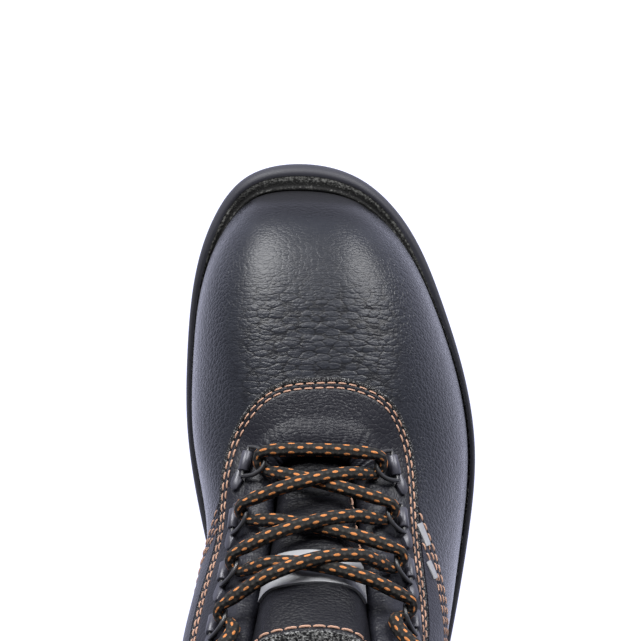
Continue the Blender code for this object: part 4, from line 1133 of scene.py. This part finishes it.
def tube(path, radius, sides, closed=False):
    """Points and faces of a round bar along a path, and each point's length along it and share of a turn."""
    path = np.asarray(path, float)
    count = len(path)
    radius = np.broadcast_to(np.asarray(radius, float), (count,))
    ahead, behind = np.roll(path, -1, axis=0), np.roll(path, 1, axis=0)
    tangents = unit(ahead - behind) if closed else unit(np.gradient(path, axis=0))
    across = np.cross(tangents[0], [0.0, 0.0, 1.0])
    if np.linalg.norm(across) < 0.1:
        across = np.cross(tangents[0], [0.0, 1.0, 0.0])
    turns = np.arange(sides) * 2 * math.pi / sides
    rings = []
    for point, tangent, r in zip(path, tangents, radius):
        across = unit(across - np.dot(across, tangent) * tangent)
        other = np.cross(tangent, across)
        rings.append(point + r * (np.outer(np.cos(turns), across) + np.outer(np.sin(turns), other)))
    index = np.arange(count * sides).reshape(count, sides)
    faces = quads_between(index, closed)
    if not closed:
        faces += [tuple(index[0].tolist()), tuple(index[-1].tolist()[::-1])]
    length = np.repeat(travel(path), sides)
    turn = np.tile(np.arange(sides) / sides, count)
    return np.concatenate(rings), faces, length, turn


def plate_shape(to_collar):
    """The ring's plate: a tongue with a round end and softened edges, lying towards the collar."""
    outline = np.array(PLATE_OUTLINE) * [to_collar, 1.0]
    inwards = -unit(outline - outline.mean(axis=0))
    size = len(outline)
    layers = [at_height(outline + inset * inwards, np.full(size, height)) for inset, height in PLATE_LAYERS]
    index = np.arange(len(layers) * size).reshape(len(layers), size)
    faces = quads_between(index) + [tuple(index[0].tolist()[::-1]), tuple(index[-1].tolist())]
    return np.concatenate(layers), faces


def barrel_shape():
    way_in, thinner = np.array(BARREL_ENDS).T
    ways = np.concatenate([way_in - BARREL_LENGTH / 2, (BARREL_LENGTH / 2 - way_in)[::-1]])
    radii = BARREL_RADIUS - np.concatenate([thinner, thinner[::-1]])
    path = [(way, BARREL_AHEAD, BARREL_RADIUS) for way in ways]
    return tube(path, radii, BARREL_SIDES)[:2]


def wire_shape():
    turns = np.linspace(0, math.pi, 27)
    way = [(D_HALF * math.cos(a), D_REACH * math.sin(a) ** 0.75) for a in turns]
    way += [(x, 0.0) for x in np.linspace(-D_HALF, D_HALF, 8)[1:-1]]
    path = [(x, BARREL_AHEAD + r * math.cos(D_TILT), BARREL_RADIUS + r * math.sin(D_TILT)) for x, r in way]
    return tube(path, WIRE_RADIUS, WIRE_SIDES, closed=True)[:2]


painted_steel = Finish("black painted steel")
painted_steel.surface(
    Base_Color=painted_steel.tone(1.2, (0.023, 0.023, 0.031), (0.035, 0.035, 0.046)),
    Roughness=painted_steel.noise(0.6) * 0.1 + 0.36,
    Metallic=0.25,
    Normal=painted_steel.relief(painted_steel.noise(0.4), 0.02),
)
glossy_wire = Finish("glossy black wire")
glossy_wire.surface(
    Base_Color=glossy_wire.tone(1.0, (0.010, 0.010, 0.011), (0.02, 0.02, 0.022)),
    Roughness=glossy_wire.noise(0.8) * 0.12 + 0.32,
    Specular_IOR_Level=0.35,
    Coat_Weight=0.12,
    Coat_Roughness=0.3,
)
RINGS = [ring_frames(side) for side in (0, 1)]
for side, side_name in enumerate(("inner", "outer")):
    for pair, (place, along, inwards, outwards) in enumerate(RINGS[side], 1):
        ring_points, ring_faces, wired = [], [], []
        to_collar = np.sign(along[2])
        for number, (points, faces) in enumerate((plate_shape(to_collar), barrel_shape(), wire_shape())):
            base = sum(len(p) for p in ring_points)
            ring_points.append(place + points @ np.array([along, inwards, outwards]))
            ring_faces += [tuple(base + i for i in face) for face in faces]
            wired += [number == 2] * len(faces)
        ring = new_piece(f"lace_ring_{side_name}_{pair}_steel", np.concatenate(ring_points), ring_faces,
                         [painted_steel, glossy_wire])
        ring.data.polygons.foreach_set("material_index", np.array(wired, np.int32))
        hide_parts(f"lace_ring_{side_name}_{pair}")

# Lace
# One round braided cord, black with short orange flecks in staggered rows. It lies straight across at the
# toe, then crosses from pair to pair; at each ring it goes over the wire, down through the D and back out
# below it.

LACE_RADIUS = 2.4
LACE_SIDES, LACE_STEP = 20, 0.8
LACE_START, LACE_START_HEIGHT, LACE_BESIDE = 10.2, 6.2, 2.65
LACE_CLEARANCE = (0.8, 1.2, 2.0)
SIDE_RUN_INWARDS, SIDE_RUN_SAG = 0.8, 1.6
LACE_STACK = 3.4
BAR_FORWARD, BAR_RISE, BAR_AHEAD = 0.8, 2.0, 1.3
# Way of the lace round a ring's wire: towards the collar, towards the throat, outwards from the plate.
LACE_LOOP = (
    (-2.3, 10.0, 6.7), (-1.5, 7.9, 6.6), (-0.6, 6.3, 5.5), (0.3, 5.9, 3.5), (1.3, 7.0, 1.9), (2.3, 9.2, 1.6),
)
LACE_TIP = ((2.5, 10.6, 1.4), (2.5, 12.0, 1.2))
LACE_OVER, LACE_BELOW = (10.8, 6.4), (11.2, 1.6)
WIRE_TIP = (0.0, 8.4, 4.0)
FLECK_PITCH, FLECK_LENGTH, FLECK_HALF_WIDTH, FLECK_ROWS = 6.3, 0.37, 0.26, 8
STRANDS_PER_PITCH = 3.0


def ring_place(side, pair, x, y, z):
    place, along, inwards, outwards = RINGS[side][pair]
    return place + x * np.sign(along[2]) * along + y * inwards + z * outwards


def lace_end(side, pair, towards):
    return ring_place(side, pair, towards * LACE_BESIDE, LACE_START, LACE_START_HEIGHT)


def lace_over(side, pair):
    return ring_place(side, pair, -LACE_BESIDE, *LACE_OVER)


def lace_below(side, pair):
    return ring_place(side, pair, LACE_BESIDE, *LACE_BELOW)


def over_tongue(point, out):
    """Height above a point at which the lace lies on the middle of the tongue."""
    middles = tongue_faces[:, TONGUE_COLUMNS // 2]
    away = middles[tongue_ribs > 3.6] - point
    height = away @ out
    aside = away - np.outer(height, out)
    aside[:, 0] = 0.0
    return max(0.0, float(height[np.argmin(np.linalg.norm(aside, axis=1))])) + LACE_RADIUS


def lace_run(start, end, middle):
    """Way of the lace from ring to ring, over a point in the middle, without its ends."""
    way = column(np.linspace(0, 1, 13))[2:-2]
    return start + way * (end - start) + (4 * way * (1 - way)) ** 0.8 * (middle - (start + end) / 2)


def lace_half(first_side):
    """Way of the lace from the loop at a ring of the first pair up to the ring where it ends."""
    side, way = first_side, []
    for pair in range(RING_PAIRS):
        ahead = BAR_AHEAD if pair == 0 else 0.0
        way += [ring_place(side, pair, x - ahead * (x < 0), y, z) for x, y, z in LACE_LOOP]
        if pair == RING_PAIRS - 1:
            return way + [ring_place(side, pair, *step) for step in LACE_TIP]
        start = lace_below(side, pair)
        if pair == RING_PAIRS - 2:
            end = lace_over(side, pair + 1)
            inwards, outwards = RINGS[side][pair][2:]
            rest = (start + end) / 2 + SIDE_RUN_INWARDS * inwards - SIDE_RUN_SAG * outwards
            way += list(lace_run(start, end, rest))
            continue
        end = lace_over(1 - side, pair + 1)
        ends = [lace_end(s, row, towards) for s in (0, 1) for row, towards in ((pair, 1), (pair + 1, -1))]
        out = sum(RINGS[s][row][3] for s in (0, 1) for row in (pair, pair + 1))
        out = unit(np.array([0.0, out[1], out[2]]))
        centre = np.mean(ends, axis=0)
        over = LACE_STACK if side == 1 else 0.0
        rest = centre + (over_tongue(centre, out) + LACE_CLEARANCE[pair] + over) * out
        way += list(lace_run(start, end, rest))
        side = 1 - side


bar_left, bar_right = (ring_place(side, 0, -LACE_BESIDE - BAR_AHEAD, *LACE_OVER) for side in (0, 1))
bar_middle = (bar_left + bar_right) / 2 + np.array([0.0, BAR_FORWARD, BAR_RISE])
lace_knots = np.array(lace_half(0)[::-1] + list(lace_run(bar_left, bar_right, bar_middle)) + lace_half(1))
lace_fine = smooth_through(lace_knots, np.linspace(0, len(lace_knots) - 1, len(lace_knots) * 12))
lace_travel = travel(lace_fine)
lace_stops = np.arange(0, lace_travel[-1], LACE_STEP)
lace_path = np.stack([np.interp(lace_stops, lace_travel, axis) for axis in lace_fine.T], axis=-1)
lace_reach = np.minimum(lace_stops, lace_stops[-1] - lace_stops)
wire_tips = np.array([ring_place(side, pair, *WIRE_TIP) for side in (0, 1) for pair in range(RING_PAIRS)])
from_wire = np.linalg.norm(lace_path[:, None, :] - wire_tips[None, :, :], axis=2).min(axis=1)
squeezed = 0.76 + 0.24 * eased(2.5, 7.0, from_wire)
lace_radii = LACE_RADIUS * squeezed * (0.75 + 0.25 * eased(0, 2.0, lace_reach))
lace_points, lace_faces, lace_lengths, lace_turns = tube(lace_path, lace_radii, LACE_SIDES)

braid = Finish("black braid with orange flecks")
braid_turn = braid.math("ARCTAN2", braid.mark("turn_sin"), braid.mark("turn_cos")) / (2 * math.pi)
braid_row = (braid_turn + 0.5) * FLECK_ROWS
braid_run = braid.mark("length") / FLECK_PITCH
braid_way = braid.noise(3.0) * 0.16 + (braid_run + braid.math("FLOOR", braid_row) * 0.5)
fleck_along = (braid.math("FRACT", braid_way) - 0.5) / (FLECK_LENGTH / 2)
fleck_across = (braid.math("FRACT", braid_row) - 0.5) / FLECK_HALF_WIDTH
fleck = braid.steps(fleck_along * fleck_along + fleck_across * fleck_across, 1.1, 0.75)
strand_way = braid_run * STRANDS_PER_PITCH
strand_one = braid.math("SINE", (braid_row + strand_way) * math.pi)
strand_two = braid.math("SINE", (braid_row - strand_way) * math.pi)
weave = strand_one * strand_two
braid_fibre = braid.noise(0.35, 4.0)
orange_yarn = braid.blend(braid_fibre, (0.21, 0.067, 0.015), (0.41, 0.165, 0.052))
black_yarn = braid.blend(braid_fibre, (0.0018, 0.0017, 0.0016), (0.0105, 0.0096, 0.0088))
# Painted highlight: the black yarn is made lighter on the crests of the woven strands.
black_yarn = braid.blend(braid.steps(weave, 0.1, 0.9), black_yarn, (0.022, 0.0195, 0.017))
braid.surface(
    Base_Color=braid.blend(fleck, black_yarn, orange_yarn),
    Roughness=0.85,
    Specular_IOR_Level=0.25,
    Normal=braid.relief(weave + braid_fibre * 0.6, 0.16),
)
lace = new_piece("lace_cord_braid", lace_points, lace_faces, [braid], {
    "length": lace_lengths,
    "turn_cos": np.cos(2 * math.pi * lace_turns),
    "turn_sin": np.sin(2 * math.pi * lace_turns),
})
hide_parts("lace_bar", "lace_crossing_1", "lace_crossing_2", "lace_crossing_3",
            "lace_run_inner", "lace_run_outer")

# Midsole
# Black polyurethane foam, moulded straight onto the lasted upper. Its smooth rim stands out round the
# leather, widest at the toe, with a rough worn strip between the rim and the leather.

SOLE_STATIONS = 560
TREAD_THICKNESS, LIP_HEIGHT, LIP_THICKNESS = 10.5, 2.0, 1.5
GUARD_THICKNESS, GUARD_BELOW_RIM, GUARD_FULL, GUARD_ENDS = 4.6, 3.0, 98.0, 84.0
FLANK_INSET, FLANK_RIBS, FLANK_RIB_HEIGHT, FLANK_BELOW_RIM = 0.7, 3, 0.5, 4.5
SOLE_LAP, LEDGE_BELOW_RIM, LEDGE_GAP = 6, 1.8, 0.25
# Rough strip between rim and leather: share of the way to the leather, depth below the rim, how light it is.
ROUGH_STRIP = (
    (0.02, 0.40, 0.9), (0.08, 0.50, 1.0), (0.20, 0.55, 1.0), (0.32, 0.80, 0.85), (0.46, 1.15, 0.60),
    (0.58, 1.40, 0.50), (0.66, 1.45, 0.60), (0.72, 1.30, 0.80), (0.79, 1.35, 0.75), (0.88, 1.55, 0.50),
)

sole_u = np.linspace(0, PERIOD, SOLE_STATIONS, endpoint=False)
sole_y = EDGE(sole_u)[:, 1]
bed, rim, ground = (sole_height(sole_y, name) for name in ("bed", "rim", "ground"))
seat = bed - TREAD_THICKNESS
guard = eased(GUARD_ENDS, GUARD_FULL, y_to_along(sole_y))
lip = seat + LIP_HEIGHT + guard * (rim - GUARD_BELOW_RIM - seat - LIP_HEIGHT)
lip_inside = LIP_THICKNESS + guard * (GUARD_THICKNESS - LIP_THICKNESS)
rim_width = RIM(sole_u)


def sole_loop(inset, z):
    return at_height(edge_inset(sole_u, inset), z)


flank = FLANK_INSET * (1 - guard)
flank_foot = lip + 1.4 * (1 - guard) - 2.2 * guard
flank_top = rim - FLANK_BELOW_RIM
rim_band = (0.64 - 0.19 * guard) * rim_width
rim_shoulder = rim - 2.2 - 2.2 * guard
rim_crown = (0.55 + 0.25 * guard) * rim_band
midsole_loops = [
    sole_loop(rim_width + SOLE_LAP, seat + SOLE_GAP),
    sole_loop(lip_inside + SOLE_GAP, seat + SOLE_GAP),
    sole_loop(lip_inside + SOLE_GAP, lip + SOLE_GAP),
    sole_loop(flank + guard, flank_foot + 2.5 * guard),
    sole_loop(flank + 0.8 * guard, flank_foot),
]
for share in np.linspace(0, 1, 11):
    rib = FLANK_RIB_HEIGHT * np.sin(math.pi * share * FLANK_RIBS) ** 2 * (1 - guard)
    midsole_loops.append(sole_loop(flank - rib, flank_foot + share * (flank_top - flank_foot)))
for turn in np.linspace(0, math.pi / 2, 12):
    inset = rim_crown - rim_crown * math.cos(turn)
    midsole_loops.append(sole_loop(inset, rim_shoulder + (rim - rim_shoulder) * math.sin(turn)))
for share in (0.35, 0.7, 1.0):
    midsole_loops.append(sole_loop(rim_crown + share * (rim_band - rim_crown), rim - 0.25 * share))
rough_from = len(midsole_loops)
for way, depth, _ in ROUGH_STRIP:
    midsole_loops.append(sole_loop(rim_band + way * (rim_width - rim_band), rim - depth))
at_ledge = skin_offset(sole_u, share_at_height(sole_u, rim - LEDGE_BELOW_RIM), LEDGE_GAP)
at_bed = skin_offset(sole_u, np.zeros(SOLE_STATIONS), SOLE_GAP)
midsole_loops.append(at_height(at_ledge[:, :2], rim - LEDGE_BELOW_RIM))
midsole_loops.append(at_height(at_bed[:, :2], sole_height(at_bed[:, 1], "bed")))
midsole_loops.append(sole_loop(rim_width + SOLE_LAP, bed))
midsole_points = np.stack(midsole_loops, axis=1)
rough = np.zeros(midsole_points.shape[:2])
rough[:, rough_from : rough_from + len(ROUGH_STRIP)] = [light for _, _, light in ROUGH_STRIP]

foam_skin = Finish("black polyurethane")
foam_rough = foam_skin.mark("rough")
foam_pits = foam_skin.noise(0.7, 4.0)
foam_crumb = foam_skin.noise(0.9, 5.0) + (foam_rough * 0.45 + foam_skin.noise(14.0) * 0.30)
foam_tone = foam_skin.tone(6.0, (0.0115, 0.0116, 0.0160), (0.0178, 0.0179, 0.0240))
foam_worn = foam_skin.steps(foam_crumb, 0.95, 1.28)
foam_speck = foam_skin.blend(foam_worn, (0.006, 0.006, 0.006), (0.095, 0.095, 0.090))
foam_skin.surface(
    Base_Color=foam_skin.blend(foam_skin.steps(foam_rough, 0.15, 0.45), foam_tone, foam_speck),
    Roughness=foam_skin.steps(foam_rough, 0.0, 0.2) * 0.4 + (foam_pits * 0.12 + 0.50),
    Specular_IOR_Level=0.30,
    Normal=foam_skin.relief(foam_pits * (foam_rough * 9.0 + 1.0), 0.035),
)
midsole = lofted("midsole_foam", midsole_points, [foam_skin], {"rough": rough}, closed=True)
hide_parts("midsole")

# Outsole
# A harder black polyurethane tread, cast first and then joined to the foam in the mould. Chevron grooves
# leave flat lugs under heel and forefoot, and at the toe it turns up as a guard.

TREAD_BEVEL, TREAD_BEVEL_HEIGHT = 2.6, 3.5
GROOVE_DEPTH, GROOVE_WIDTH, GROOVE_SWEEP, GROOVE_REACH = 4.2, 6.0, 13.0, 75.0
FOREFOOT_GROOVES, HEEL_GROOVES = (43.0, 92.0, 7), (9.0, 27.0, 3)
ARCH_ALONG, ARCH_HEIGHT, ARCH_SLOPE = (34.5, 51.0), 7.0, 9.0
MIDDLE_GROOVE_ALONG, MIDDLE_GROOVE_X = (55.0, 97.0), -5.5
BELOW_FLOOR = -20.0


def drum(name, loops, finishes, rungs=(0.25, 0.5, 0.75)):
    """A closed piece from level loops, whose first and last loops are closed by strips across the boot."""
    loops = np.asarray(loops)
    levels, size = loops.shape[:2]
    points = loops.reshape(-1, 3)
    index = np.arange(levels * size).reshape(levels, size)
    faces = quads_between(index)
    half = size // 2
    for level, flip in ((0, True), (levels - 1, False)):
        rows = []
        for i in range(1, half):
            a, b = index[level, i], index[level, size - i]
            inner = [points[a] + share * (points[b] - points[a]) for share in rungs]
            base = len(points)
            points = np.concatenate([points, inner])
            rows.append([a] + list(range(base, base + len(rungs))) + [b])
        steps = range(len(rungs) + 1)
        cap = [(index[level, 0], *rows[0])]
        cap += [(r[i], s[i], s[i + 1], r[i + 1]) for r, s in zip(rows, rows[1:]) for i in steps]
        cap.append((*rows[-1][::-1], index[level, half]))
        faces += [tuple(int(i) for i in (face[::-1] if flip else face)) for face in cap]
    return new_piece(name, points, faces, finishes)


def bar_sides(size):
    return [(i, (i + 1) % size, size + (i + 1) % size, size + i) for i in range(size)]


def groove_bar(outline):
    """Bar that cuts a groove: from below the floor up to the groove's depth above the ground."""
    size = len(outline)
    points = [(x, y, BELOW_FLOOR) for x, y in outline]
    points += [(x, y, float(sole_height(y, "ground")) + GROOVE_DEPTH) for x, y in outline]
    return points, [tuple(range(size))[::-1], tuple(range(size, 2 * size))] + bar_sides(size)


def chevron(along):
    y, half = float(along_to_y(along)), GROOVE_WIDTH / 2
    front = [(-GROOVE_REACH, y - GROOVE_SWEEP + half), (0, y + half), (GROOVE_REACH, y - GROOVE_SWEEP + half)]
    return groove_bar(front + [(x, y_front - GROOVE_WIDTH) for x, y_front in reversed(front)])


def middle_groove():
    steps = np.linspace(*along_to_y(np.array(MIDDLE_GROOVE_ALONG)), 6)
    left = [(MIDDLE_GROOVE_X - GROOVE_WIDTH / 2, y) for y in steps]
    right = [(MIDDLE_GROOVE_X + GROOVE_WIDTH / 2, y) for y in steps[::-1]]
    return groove_bar(left + right)


def arch_block():
    back, front = along_to_y(np.array(ARCH_ALONG))
    side = [(back, BELOW_FLOOR), (back, ARCH_HEIGHT), (front - ARCH_SLOPE, ARCH_HEIGHT)]
    side += [(front, BELOW_FLOOR / 4), (front, BELOW_FLOOR)]
    size = len(side)
    points = [(x, y, z) for x in (-GROOVE_REACH, GROOVE_REACH) for y, z in side]
    return points, [tuple(range(size)), tuple(range(size, 2 * size))[::-1]] + bar_sides(size)


tread_rubber = Finish("black tread")
tread_grain = tread_rubber.noise(0.8, 4.0)
tread_rubber.surface(
    Base_Color=tread_rubber.tone(9.0, (0.012, 0.012, 0.0148), (0.021, 0.021, 0.0252)),
    Roughness=tread_grain * 0.25 + 0.5,
    Normal=tread_rubber.relief(tread_grain, 0.05),
)
outsole = drum("outsole_tread", [
    sole_loop(TREAD_BEVEL, ground),
    sole_loop(1.2, ground + 0.5 * TREAD_BEVEL_HEIGHT),
    sole_loop(0.6, ground + TREAD_BEVEL_HEIGHT),
    sole_loop(0.0, seat - 1),
    sole_loop(0.05, lip - 1.6 - guard),
    sole_loop(0.1 + guard, lip - 1.4 - 0.9 * guard),
    sole_loop(0.25 + guard, lip - 0.4),
    sole_loop(0.6 + 1.2 * guard, lip),
    sole_loop(lip_inside, lip),
    sole_loop(lip_inside, seat),
], [tread_rubber])
chevrons = [chevron(a) for spec in (FOREFOOT_GROOVES, HEEL_GROOVES) for a in np.linspace(*spec)]
cutters = []
for number, shapes in enumerate((chevrons, [middle_groove()], [arch_block()])):
    cut_points, cut_faces = [], []
    for points, faces in shapes:
        base = len(cut_points)
        cut_points += points
        cut_faces += [tuple(base + i for i in face) for face in faces]
    cutter_name = f"tread_cutter_{number}"
    cutters.append(put_in_scene(cutter_name, outward_mesh(cutter_name, cut_points, cut_faces)))
    cut = outsole.modifiers.new(f"cut_{number}", "BOOLEAN")
    cut.operation = "DIFFERENCE"
    cut.solver = "EXACT"
    cut.object = cutters[-1]
bpy.context.view_layer.update()
cut_mesh = bpy.data.meshes.new_from_object(outsole.evaluated_get(bpy.context.evaluated_depsgraph_get()))
outsole.modifiers.clear()
outsole.data = cut_mesh
for cutter in cutters:
    bpy.data.objects.remove(cutter)
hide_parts("outsole")

# Insole
# A removable footbed of grey woven fabric on foam, cut to the shape of the last. It lies loose on the midsole
# inside the boot.

INSOLE_GAP, INSOLE_CLEARANCE = 0.5, 0.8
# Loops of its edge from below: inset and height.
INSOLE_EDGE = ((0.3, 0.0), (0.0, 0.4), (0.0, 2.8), (0.3, 3.6), (1.0, 4.0))

insole_edge = skin_offset(sole_u, np.zeros(SOLE_STATIONS), -LEATHER_WALL - INSOLE_CLEARANCE)
insole_bed = sole_height(insole_edge[:, 1], "bed") + INSOLE_GAP
insole_loops = [
    at_height(insole_edge[:, :2] - inset * edge_outwards(sole_u), insole_bed + height)
    for inset, height in INSOLE_EDGE
]
footbed = Finish("grey footbed fabric")
footbed_weave = footbed.cells(0.9, footbed.place((1.0, 0.7, 1.0)))
footbed.surface(
    Base_Color=footbed.blend(footbed_weave, (0.05, 0.05, 0.055), (0.16, 0.16, 0.17)),
    Roughness=0.9,
    Sheen_Weight=0.2,
    Normal=footbed.relief(footbed_weave, 0.15),
)
insole = drum("insole_footbed", insole_loops, [footbed])
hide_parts("insole")

# Floor, light and camera
# A white table under white walls, with a soft light on each side of the toe and less light from straight
# above, seen from straight above the instep. Places and sizes here are in metres.

TABLE_HALF = 3
CAMERA_PLACE = (-0.00377, 0.0925, 0.9)
CAMERA_SENSOR, CAMERA_LENS = 36, 130.24
# Light from the walls, from the level upwards: share of the way up and colour.
WALL_LIGHT = ((0.05, (0.88, 0.9, 1.0, 1.0)), (0.4, (0.14, 0.145, 0.17, 1.0)))
WALL_STRENGTH = 0.8

table_corners = [(x * TABLE_HALF, y * TABLE_HALF, 0) for x, y in ((-1, -1), (1, -1), (1, 1), (-1, 1))]
table_mesh = bpy.data.meshes.new("table")
table_mesh.from_pydata(table_corners, [], [(0, 1, 2, 3)])
table = put_in_scene("table", table_mesh)
white_table = Finish("white table")
white_table.surface(
    Base_Color=white_table.tone(40.0, (0.09, 0.09, 0.09), (0.11, 0.11, 0.11)),
    Roughness=0.9,
    Emission_Color=(0.74, 0.76, 1.0),
    Emission_Strength=1.34,
)
table_mesh.materials.append(white_table.material)

world = bpy.data.worlds.new("white walls")
world.use_nodes = True
world_nodes, world_links = world.node_tree.nodes, world.node_tree.links
world_place = world_nodes.new("ShaderNodeTexCoord")
world_split = world_nodes.new("ShaderNodeSeparateXYZ")
world_ramp = world_nodes.new("ShaderNodeValToRGB")
for stop, (position, colour) in zip(world_ramp.color_ramp.elements, WALL_LIGHT):
    stop.position = position
    stop.color = colour
world_links.new(world_place.outputs["Generated"], world_split.inputs[0])
world_links.new(world_split.outputs["Z"], world_ramp.inputs[0])
world_links.new(world_ramp.outputs[0], world_nodes["Background"].inputs[0])
world_nodes["Background"].inputs[1].default_value = WALL_STRENGTH
bpy.context.scene.world = world


def soft_light(name, place, towards, size, power):
    lamp = bpy.data.lights.new(name, "AREA")
    lamp.shape = "RECTANGLE"
    lamp.size, lamp.size_y = size
    lamp.energy = power
    holder = put_in_scene(name, lamp)
    holder.location = place
    holder.rotation_euler = (Vector(towards) - Vector(place)).to_track_quat("-Z", "Y").to_euler()


soft_light("left light", (-0.55, 1.15, 0.90), (-0.02, 0.1, 0.07), (0.68, 0.80), 47)
soft_light("right light", (0.72, 1.05, 0.80), (0.01, 0.1, 0.07), (0.60, 0.70), 31)

camera_data = bpy.data.cameras.new("camera")
camera_data.sensor_width = CAMERA_SENSOR
camera_data.lens = CAMERA_LENS
camera = put_in_scene("camera", camera_data)
camera.location = CAMERA_PLACE
bpy.context.scene.camera = camera
bpy.context.scene.view_settings.view_transform = "Standard"
